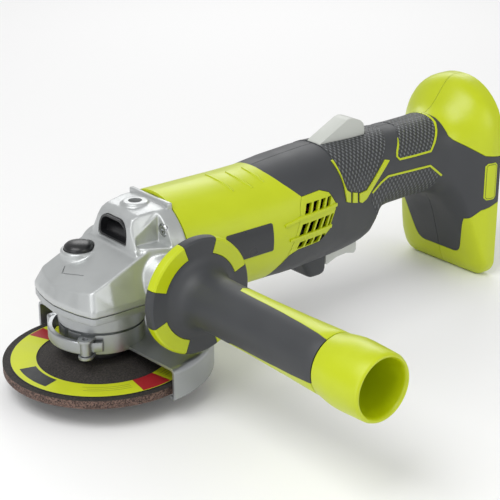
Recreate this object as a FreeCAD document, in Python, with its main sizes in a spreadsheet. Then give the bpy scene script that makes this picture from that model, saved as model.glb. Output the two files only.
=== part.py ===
"""Cordless 115 mm angle grinder with a rear battery collar, as an assembly of separate pieces.

Frame: the spindle axis is Z through the origin, the wheel's label lies in the plane z = 0, +X runs
along the motor to the battery collar and the side handle points to -Y. Millimetres throughout.
"""
import FreeCAD, Part
import math
import os
import re
import Sketcher
from FreeCAD import Placement, Rotation, Vector

SIZES = [
    # wheel stack
    ("wheel_radius", 57.5, "grinding wheel radius, 115 mm wheel"),
    ("wheel_thick", 4.85, "thickness of the abrasive"),
    ("wheel_bore", 11.12, "bore radius of the wheel, 22.23 mm bore"),
    ("label_thick", 0.35, "thickness of the printed ring"),
    ("label_outer", 53.4, "outer radius of the printed ring"),
    ("hub_rise", 4.6, "height of the raised wheel centre over the label"),
    ("hub_radius", 24.0, "radius of the flat raised centre"),
    ("cone_radius", 37.6, "radius where the raised centre meets the flat rim"),
    ("flange_radius", 16.0, "inner flange radius"),
    ("flange_thick", 5.0, "inner flange thickness"),
    ("nut_radius", 17.0, "outer lock nut radius"),
    ("nut_thick", 6.2, "outer lock nut thickness"),
    # spindle
    ("nose_radius", 7.0, "threaded nose of the spindle, M14"),
    ("nose_end", -11.0, "height of the free end of the spindle"),
    ("collar_radius", 10.0, "shoulder between the nose and the bearing"),
    ("journal_radius", 6.0, "spindle journal in the lower bearing and the ring gear"),
    ("tail_radius", 4.0, "upper end of the spindle in its bush"),
    ("bearing_radius", 16.0, "outer radius of the lower bearing"),
    ("bearing_base", 17.5, "height of the lower face of the lower bearing"),
    ("bearing_width", 10.0, "width of the lower bearing"),
    ("bush_base", 53.0, "height of the lower face of the upper bush"),
    ("bush_length", 5.5, "length of the upper bush"),
    ("bush_radius", 6.5, "outer radius of the upper bush"),
    # bevel gears
    ("motor_height", 55.5, "height of the motor axis over the label plane"),
    ("cone_length", 22.5, "distance from the crossing of the axes to the large end of the teeth"),
    ("face_width", 6.5, "length of the bevel teeth"),
    ("gear_base", 41.5, "height of the lower face of the ring gear's web"),
    ("gear_web", 3.5, "thickness of the ring gear's web"),
    ("gear_hub", 9.0, "radius of the ring gear's hub"),
    ("lock_circle", 12.0, "radius on which the lock pin meets the ring gear"),
    ("lock_pin", 2.2, "radius of the lock pin"),
    ("lock_travel", 4.0, "stroke of the lock button"),
    ("button_radius", 8.0, "radius of the lock button"),
    ("button_x", -3.0, "lock button, distance along X"),
    ("button_y", 16.0, "lock button, distance along Y"),
    ("button_rim", 61.5, "height of the rim round the lock button"),
    # gear head
    ("head_base", 39.0, "height of the joint between head and bearing cap"),
    ("head_half", 31.5, "half width of the head at its base"),
    ("head_front", 31.8, "reach of the head in front of the spindle at its base"),
    ("deck_front", 51.0, "height of the sloping deck at its front corners"),
    ("deck_back", 66.6, "height of the sloping deck where the hump starts"),
    ("hump_front", 13.5, "distance from the spindle to the hump"),
    ("hump_half", 19.0, "half width of the hump"),
    ("hump_top", 86.5, "height of the hump"),
    ("head_rear", 38.0, "end of the head, where the motor housing starts"),
    ("head_wall", 3.0, "wall of the head casting"),
    ("neck_radius", 22.3, "radius of the bearing cap's neck that carries the guard"),
    ("neck_base", 11.0, "height of the lower end of the neck"),
    ("shoulder_base", 24.0, "height of the shoulder above the guard's band"),
    ("cap_plate", 4.0, "thickness of the bearing cap's plate"),
    # guard
    ("guard_radius", 64.0, "outer radius of the guard"),
    ("guard_top", 13.0, "height of the guard's top plate"),
    ("guard_low", -5.5, "height of the lower edge of the guard's skirt"),
    ("guard_sheet", 1.5, "sheet thickness of the guard"),
    ("guard_turn", 3.0, "angle of the middle of the guard from +X, degrees"),
    ("band_top", 23.0, "height of the upper edge of the guard's band"),
    ("band_sheet", 2.2, "thickness of the band"),
    ("lever_reach", 31.5, "outer radius of the clamp lever"),
    ("lever_sheet", 3.6, "thickness of the clamp lever"),
    # motor
    ("motor_radius", 35.4, "outer radius of the motor housing"),
    ("motor_wall", 2.4, "wall of the motor housing"),
    ("can_radius", 27.0, "outer radius of the stator can"),
    ("can_wall", 2.0, "wall of the stator can"),
    ("can_front", 58.5, "front end of the stator can"),
    ("can_rear", 106.0, "rear end of the stator can"),
    ("magnet_thick", 4.4, "radial thickness of the magnets"),
    ("core_radius", 19.8, "radius of the rotor core"),
    ("core_front", 64.0, "front end of the rotor core"),
    ("core_rear", 98.0, "rear end of the rotor core"),
    ("shaft_radius", 4.0, "radius of the armature shaft"),
    ("pinion_bore", 2.5, "radius of the shaft's front end in the pinion"),
    ("front_bearing", 11.0, "outer radius of the front armature bearing"),
    ("front_bearing_at", 26.5, "front face of the front armature bearing"),
    ("front_bearing_width", 7.0, "width of the front armature bearing"),
    ("rear_bearing", 9.5, "outer radius of the rear armature bearing"),
    ("rear_bearing_at", 123.0, "front face of the rear armature bearing"),
    ("rear_bearing_width", 6.0, "width of the rear armature bearing"),
    ("commutator_radius", 10.0, "radius of the commutator"),
    ("fan_radius", 26.5, "radius of the cooling fan"),
    ("fan_at", 43.5, "front face of the cooling fan"),
    ("fan_width", 10.0, "length of the cooling fan"),
    ("screw_y", 23.5, "housing screws, distance from the middle plane"),
    ("screw_z", 21.0, "housing screws, distance above and below the motor axis"),
    # handle shells
    ("seam_x", 119.3, "joint between motor housing and handle shells, at mid height"),
    ("seam_top_x", 101.0, "the same joint at the top"),
    ("seam_low_x", 104.0, "the same joint at the bottom"),
    ("skin", 1.5, "thickness of the rubber overmould"),
    ("shell_wall", 2.2, "wall of the handle shells"),
    ("neck_end", 194.0, "rear end of the deep neck"),
    ("grip_start", 203.0, "front end of the slim grip"),
    ("grip_end", 258.0, "rear end of the slim grip"),
    ("grip_half", 22.8, "half width of the grip"),
    ("grip_low", 43.4, "height of the underside of the grip"),
    ("grip_high", 94.8, "height of the top of the grip"),
    ("collar_front", 286.0, "front edge of the battery collar's rim"),
    ("collar_rear", 296.0, "rear face of the battery collar"),
    ("collar_half", 38.6, "half width of the battery collar"),
    ("collar_low", -18.5, "height of the bottom of the battery collar"),
    ("collar_high", 117.3, "height of the top of the battery collar"),
    ("recess_depth", 9.0, "depth of the recess in the collar's rear face"),
    ("stem_half", 17.0, "half width of the battery stem's socket"),
    ("stem_low", 50.0, "height of the bottom of the stem's socket"),
    ("stem_high", 89.0, "height of the top of the stem's socket"),
    ("stem_end", 232.0, "front end of the stem's socket"),
    ("trigger_travel", 5.0, "stroke of the trigger"),
    ("trigger_front", 165.0, "front end of the trigger"),
    ("trigger_rear", 191.5, "rear end of the trigger"),
    ("trigger_half", 9.3, "half width of the trigger"),
    ("slider_travel", 5.0, "stroke of the lock-off slider"),
    ("slider_front", 161.0, "front tip of the lock-off slider"),
    ("slider_rear", 199.5, "rear face of the lock-off slider"),
    ("slider_high", 107.4, "height of the lock-off slider"),
    ("slider_half", 6.0, "half width of the lock-off slider"),
    # side handle
    ("side_x", 25.7, "side handle axis, distance along X"),
    ("side_z", 49.0, "side handle axis, height"),
    ("boss_end", 41.0, "distance of the boss faces from the middle plane"),
    ("boss_radius", 13.0, "radius of the side handle bosses"),
    ("thread_radius", 4.0, "radius of the side handle's threaded holes, M8"),
    ("thread_depth", 14.0, "depth of the threaded holes"),
    ("disc_radius", 33.9, "radius of the side handle's flange"),
    ("disc_face", 60.2, "distance of the flange's outer face from the middle plane"),
    ("handle_end", 200.6, "distance of the handle's free end from the middle plane"),
    ("bell_radius", 18.1, "radius of the handle's hollow end"),
    ("bell_bore", 15.35, "bore radius of the handle's hollow end"),
    ("core_tube", 12.6, "radius of the hard core under the rubber sleeve"),
    # clearances
    ("fit", 0.05, "running and assembly clearance, radial"),
    ("gap", 0.3, "air gap between pieces that only lie near each other"),
]
RING_TEETH = 37
PINION_TEETH = 12
NAMES = {alias for alias, value, note in SIZES}

doc = FreeCAD.newDocument("AngleGrinder")
sheet = doc.addObject("Spreadsheet::Sheet", "Sizes")
for row, (alias, value, note) in enumerate(SIZES, start=1):
    sheet.set(f"A{row}", note)
    sheet.set(f"B{row}", str(value))
    sheet.setAlias(f"B{row}", alias)
doc.recompute()


# ---------------------------------------------------------------- sheet, placement and primitives
def spell(text):
    """An expression with every alias written as a reference to the sheet."""
    def refer(match):
        return "Sizes." + match.group() if match.group() in NAMES else match.group()
    return re.sub(r"[a-z_]+[a-z0-9_]*", refer, str(text))


def size(text):
    """The number that an expression has now, in millimetres or degrees."""
    value = sheet.evalExpression(spell(text))
    return float(getattr(value, "Value", value))


TURNS = {
    "Z": Rotation(),
    "X": Rotation(Vector(0, 1, 0), 90),
    "Y": Rotation(Vector(1, 0, 0), -90),
    "-Y": Rotation(Vector(1, 0, 0), 90),
}
ORIGIN = ("0", "0", "0")
MOTOR = ("0", "0", "motor_height")


def place(thing, at, axis="Z", spin=0):
    """Put an object's origin at a point and its own Z along an axis, all bound to the sheet."""
    turn = TURNS[axis].multiply(Rotation(Vector(0, 0, 1), spin))
    thing.Placement = Placement(Vector(*[size(text) for text in at]), turn)
    for letter, text in zip("xyz", at):
        thing.setExpression(f"Placement.Base.{letter}", spell(text))
    return thing


def bound(kind, name, at, axis="Z", **sizes):
    """A Part primitive whose properties are expressions of the sheet."""
    thing = doc.addObject(kind, name)
    for prop, text in sizes.items():
        thing.setExpression(prop, spell(text))
    return place(thing, at, axis)


def cylinder(name, radius, length, at=ORIGIN, axis="Z"):
    return bound("Part::Cylinder", name, at, axis, Radius=radius, Height=length)


def cone(name, radius, end_radius, length, at=ORIGIN, axis="Z"):
    return bound("Part::Cone", name, at, axis, Radius1=radius, Radius2=end_radius, Height=length)


def block(name, low, high):
    """A box between two opposite corners."""
    length, width, height = [f"({b}) - ({a})" for a, b in zip(low, high)]
    return bound("Part::Box", name, low, Length=length, Width=width, Height=height)


def fuse(name, things):
    joined = doc.addObject("Part::MultiFuse", name)
    joined.Shapes = things
    return joined


def cut(name, base, tools):
    """The base without the tools."""
    result = doc.addObject("Part::Cut", name)
    result.Base = base
    result.Tool = tools[0] if len(tools) == 1 else fuse(name + "_tools", tools)
    return result


def common(name, one, other):
    result = doc.addObject("Part::Common", name)
    result.Base = one
    result.Tool = other
    return result


# ---------------------------------------------------------------- sketches, turned and padded pieces
def plane_of(body, role):
    return [plane for plane in body.Origin.OriginFeatures if plane.Role == role][0]


def outline(body, plane, corners, offset="0"):
    """A closed sketch through corners (across, up, optional rounding radius), each bound to the sheet."""
    sketch = body.newObject("Sketcher::SketchObject", body.Name + "_sketch")
    sketch.AttachmentSupport = [(plane_of(body, plane), "")]
    sketch.MapMode = "FlatFace"
    sketch.AttachmentOffset = Placement(Vector(0, 0, size(offset)), Rotation())
    sketch.setExpression("AttachmentOffset.Base.z", spell(offset))
    points = [Vector(size(corner[0]), size(corner[1]), 0) for corner in corners]
    radii = [size(corner[2]) if len(corner) > 2 else 0 for corner in corners]
    ends = []
    for i, point in enumerate(points):
        back = (points[i - 1] - point).normalize()
        ahead = (points[(i + 1) % len(points)] - point).normalize()
        reach = radii[i] / math.tan(back.getAngle(ahead) / 2) if radii[i] else 0
        ends.append((point + back * reach, point + ahead * reach, back, ahead))
    lines = []
    for i in range(len(points)):
        run = Part.LineSegment(ends[i][1], ends[(i + 1) % len(points)][0])
        lines.append(sketch.addGeometry(run, False))
    for i, point in enumerate(points):
        before, after = lines[i - 1], lines[i]
        if radii[i]:
            held = round_corner(sketch, point, radii[i], ends[i], before, after, corners[i][2])
        else:
            sketch.addConstraint(Sketcher.Constraint("Coincident", before, 2, after, 1))
            held = after
        for kind, text, value in (("DistanceX", corners[i][0], point.x), ("DistanceY", corners[i][1], point.y)):
            index = sketch.addConstraint(Sketcher.Constraint(kind, -1, 1, held, 1, value))
            sketch.setExpression(f"Constraints[{index}]", spell(text))
    return sketch


def round_corner(sketch, point, radius, ends, before, after, text):
    """Join two lines by a tangent arc, and hold their crossing as a construction point."""
    start, finish, back, ahead = ends
    bisector = (back + ahead).normalize()
    centre = point + bisector * (radius / math.sin(back.getAngle(ahead) / 2))
    turns_left = ahead.cross(back).z > 0
    one, other = (start, finish) if turns_left else (finish, start)
    arc = sketch.addGeometry(Part.Arc(one, centre - bisector * radius, other), False)
    first = 1 if turns_left else 2
    sketch.addConstraint(Sketcher.Constraint("Tangent", before, 2, arc, first))
    sketch.addConstraint(Sketcher.Constraint("Tangent", arc, 3 - first, after, 1))
    index = sketch.addConstraint(Sketcher.Constraint("Radius", arc, radius))
    sketch.setExpression(f"Constraints[{index}]", spell(text))
    crossing = sketch.addGeometry(Part.Point(point), True)
    sketch.addConstraint(Sketcher.Constraint("PointOnObject", crossing, 1, before))
    sketch.addConstraint(Sketcher.Constraint("PointOnObject", crossing, 1, after))
    return crossing


def turned(name, corners, at=ORIGIN, axis="Z", sweep=360, spin=0):
    """A body turned about its own Z: corners are (radius, distance along the axis)."""
    body = doc.addObject("PartDesign::Body", name)
    sketch = outline(body, "XZ_Plane", corners)
    turn = body.newObject("PartDesign::Revolution", name + "_turn")
    turn.Profile = sketch
    turn.ReferenceAxis = (sketch, ["V_Axis"])
    turn.Angle = sweep
    turn.Midplane = sweep < 360
    return place(body, at, axis, spin)


def padded(name, plane, corners, low, high):
    """A body padded square to a plane between two distances along X, Y or Z."""
    body = doc.addObject("PartDesign::Body", name)
    start = f"-({high})" if plane == "XZ_Plane" else low
    sketch = outline(body, plane, corners, start)
    pad = body.newObject("PartDesign::Pad", name + "_pad")
    pad.Profile = sketch
    pad.Length = size(f"({high}) - ({low})")
    pad.setExpression("Length", spell(f"({high}) - ({low})"))
    return body


def lofted(name, plane, sections):
    """A body lofted with straight rulings through outlines at distances along the plane's normal."""
    body = doc.addObject("PartDesign::Body", name)
    sketches = [outline(body, plane, corners, offset) for offset, corners in sections]
    loft = body.newObject("PartDesign::AdditiveLoft", name + "_loft")
    loft.Profile = sketches[0]
    loft.Sections = sketches[1:]
    loft.Ruled = True
    return body


def ring(name, outer, inner, low, high, at=ORIGIN, axis="Z"):
    """A plain turned ring or tube."""
    return turned(name, [(inner, low), (outer, low), (outer, high), (inner, high)], at, axis)


def coil(name, radius, wire, length, turns, at, axis="Z"):
    """A compression spring swept along a helix, its ends inside the stated length."""
    helix = doc.addObject("Part::Helix", name + "_helix")
    helix.setExpression("Radius", spell(radius))
    helix.setExpression("Height", spell(f"({length}) - 2 * ({wire})"))
    helix.setExpression("Pitch", spell(f"(({length}) - 2 * ({wire})) / {turns}"))
    lift = {"Z": (at[0], at[1], f"({at[2]}) + ({wire})"), "X": (f"({at[0]}) + ({wire})", at[1], at[2]),
            "Y": (at[0], f"({at[1]}) + ({wire})", at[2]), "-Y": (at[0], f"({at[1]}) - ({wire})", at[2])}
    place(helix, lift[axis], axis)
    section = doc.addObject("Part::Circle", name + "_wire")
    section.setExpression("Radius", spell(wire))
    start = helix.Placement.multVec(Vector(size(radius), 0, 0))
    section.Placement = Placement(start, TURNS[axis].multiply(Rotation(Vector(1, 0, 0), 90)))
    sweep = doc.addObject("Part::Sweep", name)
    sweep.Sections = [section]
    sweep.Spine = (helix, ["Edge1"])
    sweep.Solid = True
    sweep.Frenet = True
    return sweep


def around(count, radius, start=0):
    """Evenly spaced points on a circle, as texts for two coordinates."""
    angles = [math.radians(start + 360 * i / count) for i in range(count)]
    return [(f"({radius}) * {math.cos(a):.6f}", f"({radius}) * {math.sin(a):.6f}") for a in angles]


def screws(name, shank, head, head_high, reach, spots, axis):
    """Identical pan head screws with hexagon sockets: heads start at the spots, shanks run along the axis."""
    made = []
    for i, spot in enumerate(spots):
        whole = turned(f"{name}_{i}", [("0", f"-({head_high})"), (f"({head}) - 0.8", f"-({head_high})"),
                                       (head, f"0.8 - ({head_high})"), (head, "0"), (shank, "0"),
                                       (shank, reach), ("0", reach)], spot, axis)
        drive = padded(f"{name}_{i}_drive", "XY_Plane",
                       [(a, b) for a, b in around(6, f"0.45 * ({head})")], f"-({head_high}) - 1", f"-({head_high}) + 1.6")
        made.append(cut(f"{name}_{i}_cut", whole, [place(drive, spot, axis)]))
    return fuse(name, made)


# ---------------------------------------------------------------- wheel, flanges and spindle
WHEEL_TOP = "-label_thick"
FLANGE_TOP = "hub_rise + flange_thick"
PLATEAU_LOW = "hub_rise - wheel_thick"


def grinding_wheel():
    return turned("grinding_wheel", [
        ("wheel_bore", PLATEAU_LOW), ("hub_radius - 2", PLATEAU_LOW),
        ("cone_radius - 2", "-label_thick - wheel_thick"), ("wheel_radius", "-label_thick - wheel_thick"),
        ("wheel_radius", WHEEL_TOP), ("cone_radius", WHEEL_TOP), ("hub_radius", "hub_rise"),
        ("wheel_bore", "hub_rise")])


def wheel_label():
    return ring("wheel_label", "label_outer", "cone_radius + 0.6", WHEEL_TOP, "0")


def inner_flange():
    return turned("inner_flange", [
        ("nose_radius + fit", "hub_rise - 1.6"), ("wheel_bore - fit", "hub_rise - 1.6"),
        ("wheel_bore - fit", "hub_rise"), ("flange_radius", "hub_rise"),
        ("flange_radius", f"{FLANGE_TOP} - 1.5"), ("flange_radius - 1.5", FLANGE_TOP),
        ("nose_radius + fit", FLANGE_TOP)])


def lock_nut():
    nut = turned("lock_nut_blank", [
        ("nose_radius + fit", f"{PLATEAU_LOW} - nut_thick"), ("nut_radius - 1", f"{PLATEAU_LOW} - nut_thick"),
        ("nut_radius", f"{PLATEAU_LOW} - nut_thick + 1"), ("nut_radius", PLATEAU_LOW),
        ("nose_radius + fit", PLATEAU_LOW)])
    holes = [cylinder(f"nut_hole_{i}", "2.5", "4", (a, b, f"{PLATEAU_LOW} - nut_thick - 1"))
             for i, (a, b) in enumerate(around(4, "0.5 * (nose_radius + nut_radius)", 45))]
    return cut("lock_nut", nut, holes)


CLIP_BASE = "bush_base - 3.3"
GEAR_HUB_TOP = "bush_base - 3.5"


def spindle():
    blank = turned("spindle_blank", [
        ("0", "nose_end"), ("nose_radius - 1", "nose_end"), ("nose_radius", "nose_end + 1"),
        ("nose_radius", FLANGE_TOP), ("collar_radius", FLANGE_TOP), ("collar_radius", "bearing_base"),
        ("journal_radius", "bearing_base"), ("journal_radius", CLIP_BASE),
        ("journal_radius - 0.6", CLIP_BASE), ("journal_radius - 0.6", f"{CLIP_BASE} + 1.1"),
        ("journal_radius", f"{CLIP_BASE} + 1.1"), ("journal_radius", f"{CLIP_BASE} + 1.7"),
        ("tail_radius", f"{CLIP_BASE} + 1.7"), ("tail_radius", "bush_base + bush_length - 0.5"),
        ("0", "bush_base + bush_length - 0.5")])
    keyway = block("spindle_keyway", ("-1.5 - fit", "journal_radius - 2", "gear_base"),
                   ("1.5 + fit", "journal_radius + 1", f"{GEAR_HUB_TOP} - 1"))
    return cut("spindle", blank, [keyway])


def gear_key():
    return block("gear_key", ("-1.5", "journal_radius - 2 + fit", "gear_base + fit"),
                 ("1.5", "journal_radius + 1.4", f"{GEAR_HUB_TOP} - 1 - fit"))


def gear_clip():
    clip = ring("gear_clip_ring", "journal_radius + 2.2", "journal_radius - 0.55",
                f"{CLIP_BASE} + fit", f"{CLIP_BASE} + 1.05")
    mouth = block("gear_clip_mouth", ("-journal_radius - 4", "-2", "bush_base - 5"), ("0", "2", "bush_base"))
    return cut("gear_clip", clip, [mouth])


def gear_spacer():
    return ring("gear_spacer", "8.4", "journal_radius + fit", "bearing_base + bearing_width", "gear_base - 1.5")


# ---------------------------------------------------------------- bevel gears
PITCH_ANGLE = math.atan2(PINION_TEETH, RING_TEETH)
BACKLASH = 0.24
STEPS = 6


def tooth_flanks(teeth, pitch_radius, pitch_angle, module):
    """One tooth on the back cone, as (radius on the back cone, half angle) from root to tip."""
    back_radius = pitch_radius / math.cos(pitch_angle)
    pressure = math.radians(20)
    base = back_radius * math.cos(pressure)
    root = back_radius - 1.15 * module
    tip = back_radius + 0.9 * module
    half = (math.pi * module / 2 - BACKLASH) / 2 / back_radius
    at_pitch = math.tan(pressure) - pressure
    flank = []
    for step in range(STEPS + 1):
        radius = root + (tip - root) * step / STEPS
        roll = math.acos(base / max(radius, base * 1.0000001))
        flank.append((radius, half + at_pitch - (math.tan(roll) - roll)))
    return flank


def bevel_outline(teeth, pitch_angle, cone_length, at, phase):
    """The tooth outline seen from the apex, projected on a plane at a distance along the gear's axis."""
    pitch_radius = cone_length * math.sin(pitch_angle)
    module = 2 * pitch_radius / teeth
    back_length = cone_length / math.cos(pitch_angle)
    back_angle = math.pi / 2 - pitch_angle
    points = []
    for tooth in range(teeth):
        middle = phase + 2 * math.pi * tooth / teeth
        flank = tooth_flanks(teeth, pitch_radius, pitch_angle, module)
        rise = [(radius, -half) for radius, half in flank]
        fall = [(radius, half) for radius, half in reversed(flank)]
        for radius, half in rise + fall:
            across = radius * math.sin(back_angle)
            along = back_length - radius * math.cos(back_angle)
            turn = middle + half / math.cos(pitch_angle)
            scale = at / along
            points.append(Vector(across * scale * math.cos(turn), across * scale * math.sin(turn), at))
    return points


def bevel_teeth(teeth, pitch_angle, phase):
    """A solid star that narrows to the apex at the origin and opens along +Z."""
    cone_length = size("cone_length")
    far = cone_length * math.cos(pitch_angle) * 1.3
    near = far * 0.4
    wires = []
    for at in (near, far):
        points = bevel_outline(teeth, pitch_angle, cone_length, at, phase)
        wires.append(Part.makePolygon(points + points[:1]))
    return Part.makeLoft(wires, True, True)


def bevel_blank(pitch_angle, profile):
    """A turned blank about Z from (radius, height) points."""
    wire = Part.makePolygon([Vector(r, 0, z) for r, z in profile + profile[:1]])
    return Part.Face(wire).revolve(Vector(), Vector(0, 0, 1), 360)


def on_cone(length, angle, offset):
    """A point at a length along a cone from the apex, moved square to the cone's surface."""
    return (length * math.sin(angle) + offset * math.cos(angle),
            length * math.cos(angle) - offset * math.sin(angle))


def gear_feature(name, shape, placement):
    gear = doc.addObject("Part::Feature", name)
    gear.Shape = shape
    gear.Placement = placement
    return gear


def ring_gear():
    """The crown wheel: its axis points down from the apex, so the toothed side faces up."""
    length, angle = size("cone_length"), math.pi / 2 - PITCH_ANGLE
    module = 2 * length * math.sin(angle) / RING_TEETH
    web_far = size("motor_height - gear_base")
    web_near = size("motor_height - gear_base - gear_web")
    hub_near = size(f"motor_height - ({GEAR_HUB_TOP})")
    hub, bore = size("gear_hub"), size("journal_radius + fit")
    tooth_in, tooth_out = length - size("face_width"), length
    band = bevel_blank(angle, [on_cone(tooth_in, angle, -2.4), on_cone(tooth_in, angle, module),
                               on_cone(tooth_out, angle, module), on_cone(tooth_out, angle, -2.4)])
    teeth = bevel_teeth(RING_TEETH, angle, math.pi / RING_TEETH).common(band)
    rim_r, rim_z = on_cone(tooth_out, angle, -1.15 * module - 0.15)
    lip_r, lip_z = on_cone(tooth_in, angle, -1.15 * module - 0.15)
    body = bevel_blank(angle, [(bore, web_far + 1.5), (hub, web_far + 1.5), (hub, web_far), (rim_r, web_far),
                               (rim_r, rim_z), (lip_r, lip_z), (lip_r - 0.3, web_near), (hub, web_near),
                               (hub, hub_near), (bore, hub_near)])
    shape = body.fuse(teeth)
    for x, y in around(4, "lock_circle"):
        turn = math.atan2(size("button_y"), size("button_x"))
        spot = Rotation(Vector(0, 0, 1), math.degrees(-turn)).multVec(Vector(size(x), size(y), 0))
        shape = shape.cut(Part.makeCylinder(size("lock_pin") + 0.4, 12, Vector(spot.x, spot.y, web_near - 4)))
    keyway = Part.makeBox(3 + 2 * size("fit"), size("journal_radius") + 1.5, 30)
    keyway.translate(Vector(-1.5 - size("fit"), -size("journal_radius") - 1.5, 0))
    shape = shape.cut(keyway).removeSplitter()
    placement = Placement(Vector(0, 0, size("motor_height")), Rotation(Vector(1, 0, 0), 180))
    return gear_feature("ring_gear", shape, placement)


def pinion():
    """The small bevel gear on the armature shaft, its axis along +X from the apex."""
    length, angle = size("cone_length"), PITCH_ANGLE
    module = 2 * length * math.sin(angle) / PINION_TEETH
    tooth_in, tooth_out = length - size("face_width"), length
    bore = size("pinion_bore + fit")
    band = bevel_blank(angle, [on_cone(tooth_in, angle, -2.2), on_cone(tooth_in, angle, module),
                               on_cone(tooth_out, angle, module), on_cone(tooth_out, angle, -2.4)])
    teeth = bevel_teeth(PINION_TEETH, angle, 0).common(band)
    near_r, near_z = on_cone(tooth_in, angle, -1.15 * module - 0.1)
    far_r, far_z = on_cone(tooth_out, angle, -1.15 * module - 0.1)
    back = size("front_bearing_at - 0.3")
    body = bevel_blank(angle, [(bore, near_z), (near_r * 0.97, near_z), (far_r, far_z), (far_r, back), (bore, back)])
    shape = body.fuse(teeth).removeSplitter()
    placement = Placement(Vector(0, 0, size("motor_height")), Rotation(Vector(0, 1, 0), 90))
    return gear_feature("pinion", shape, placement)


# ---------------------------------------------------------------- bearings and small parts of the head
def bearing(name, outer, bore, low, high, at=ORIGIN, axis="Z"):
    """A shielded ball bearing: both rings with a shallow groove between them on each face."""
    lane_in, lane_out = f"({bore}) + 0.35 * (({outer}) - ({bore}))", f"({outer}) - 0.25 * (({outer}) - ({bore}))"
    return turned(name, [
        (bore, low), (lane_in, low), (lane_in, f"({low}) + 0.5"), (lane_out, f"({low}) + 0.5"), (lane_out, low),
        (outer, low), (outer, high), (lane_out, high), (lane_out, f"({high}) - 0.5"),
        (lane_in, f"({high}) - 0.5"), (lane_in, high), (bore, high)], at, axis)


def spindle_bearing():
    return bearing("spindle_bearing", "bearing_radius - fit", "journal_radius + fit",
                   "bearing_base + fit", "bearing_base + bearing_width - fit")


def bearing_retainer():
    return ring("bearing_retainer", "bearing_radius + 1.4", "bearing_radius - 4.5",
                "bearing_base + bearing_width + fit", "bearing_base + bearing_width + 2")


def dust_seal():
    return ring("dust_seal", "collar_radius + 3", "collar_radius + 0.1", "bearing_base - 2.6", "bearing_base - 0.2")


def spindle_top_bush():
    return ring("spindle_top_bush", "bush_radius - fit", "tail_radius + fit", "bush_base", "bush_base + bush_length")


def base_outline(half, front, rear):
    """The head's outline from above: a blunt front with two soft corners, and straight sides."""
    return [(rear, f"-({half})"), (f"-0.75 * ({front})", f"-({half})", "5"), (f"-({front})", f"-0.42 * ({half})", "12"),
            (f"-({front})", f"0.42 * ({half})", "12"), (f"-0.75 * ({front})", half, "5"), (rear, half)]


CAP_SPOTS = [("-19.6", "-21.2"), ("-19.6", "21.2"), ("17.5", "-25"), ("17.5", "25")]
CAP_REAR = "24"


def bearing_cap():
    neck = turned("cap_neck", [
        ("collar_radius + 0.6", "neck_base"), ("neck_radius + 1.2", "neck_base"),
        ("neck_radius + 1.2", "guard_top - guard_sheet - 0.2"), ("neck_radius", "guard_top - guard_sheet - 0.2"),
        ("neck_radius", "shoulder_base"), ("neck_radius + 2.6", "shoulder_base"),
        ("neck_radius + 2.6", "head_base - cap_plate + 1"), ("collar_radius + 0.6", "head_base - cap_plate + 1")])
    plate = padded("cap_plate_pad", "XY_Plane", base_outline("head_half", "head_front", CAP_REAR),
                   "head_base - cap_plate", "head_base")
    pilot = cylinder("cap_pilot", "22", "2.5", ("0", "0", "head_base - 0.5"))
    tools = [
        cylinder("cap_bearing_seat", "bearing_radius", "40", ("0", "0", "bearing_base")),
        cylinder("cap_retainer_seat", "bearing_radius + 1.5", "40", ("0", "0", "bearing_base + bearing_width")),
        cylinder("cap_seal_seat", "collar_radius + 3.1", "4", ("0", "0", "bearing_base - 2.8")),
        cylinder("cap_bore", "collar_radius + 0.6", "60", ("0", "0", "neck_base - 1"))]
    for i, (x, y) in enumerate(CAP_SPOTS):
        tools.append(cylinder(f"cap_hole_{i}", "2.05 + fit", "20", (x, y, "head_base - 12")))
    return cut("bearing_cap", fuse("cap_blank", [neck, plate, pilot]), tools)


def cap_screws():
    spots = [(x, y, "head_base - cap_plate - 0.02") for x, y in CAP_SPOTS]
    return screws("cap_screws", "2.0", "3.6", "2.4", "12", spots, "Z")


# ---------------------------------------------------------------- gear head casting
def head_block():
    """The tapered block over the gears, its deck sloping down to the front."""
    block_body = lofted("head_block", "XY_Plane", [
        ("head_base", base_outline("head_half", "head_front", "head_rear - 8")),
        ("hump_top - 12", base_outline("head_half - 7.2", "head_front - 9.5", "head_rear - 8"))])
    above = padded("head_above_deck", "XZ_Plane", [
        ("-60", "deck_front - 36 * (deck_back - deck_front) / (hump_front + 24)"),
        ("hump_front + 22", "deck_back + 22 * (deck_back - deck_front) / (hump_front + 24)"),
        ("hump_front + 22", "140"), ("-60", "140")], "-60", "60")
    return cut("head_sloped", block_body, [above])


def hump():
    side = padded("hump_side", "XZ_Plane", [
        ("hump_front - 6", "motor_height"), ("hump_front - 0.7", "deck_back - 1"),
        ("hump_front + 0.3", "hump_top - 6.5", "3"), ("hump_front + 5.5", "hump_top - 1.5", "6"),
        ("head_rear - 1", "hump_top + 1.2"), ("head_rear - 1", "motor_height")],
        "-hump_half", "hump_half")
    across = lofted("hump_across", "XY_Plane", [
        ("motor_height - 1", [("hump_front - 12", "-hump_half - 4"), ("head_rear + 2", "-hump_half - 4"),
                              ("head_rear + 2", "hump_half + 4"), ("hump_front - 12", "hump_half + 4")]),
        ("hump_top + 4", [("hump_front - 12", "-hump_half + 5"), ("head_rear + 2", "-hump_half + 5"),
                          ("head_rear + 2", "hump_half - 5"), ("hump_front - 12", "hump_half - 5")])])
    return common("hump", side, across)


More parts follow.
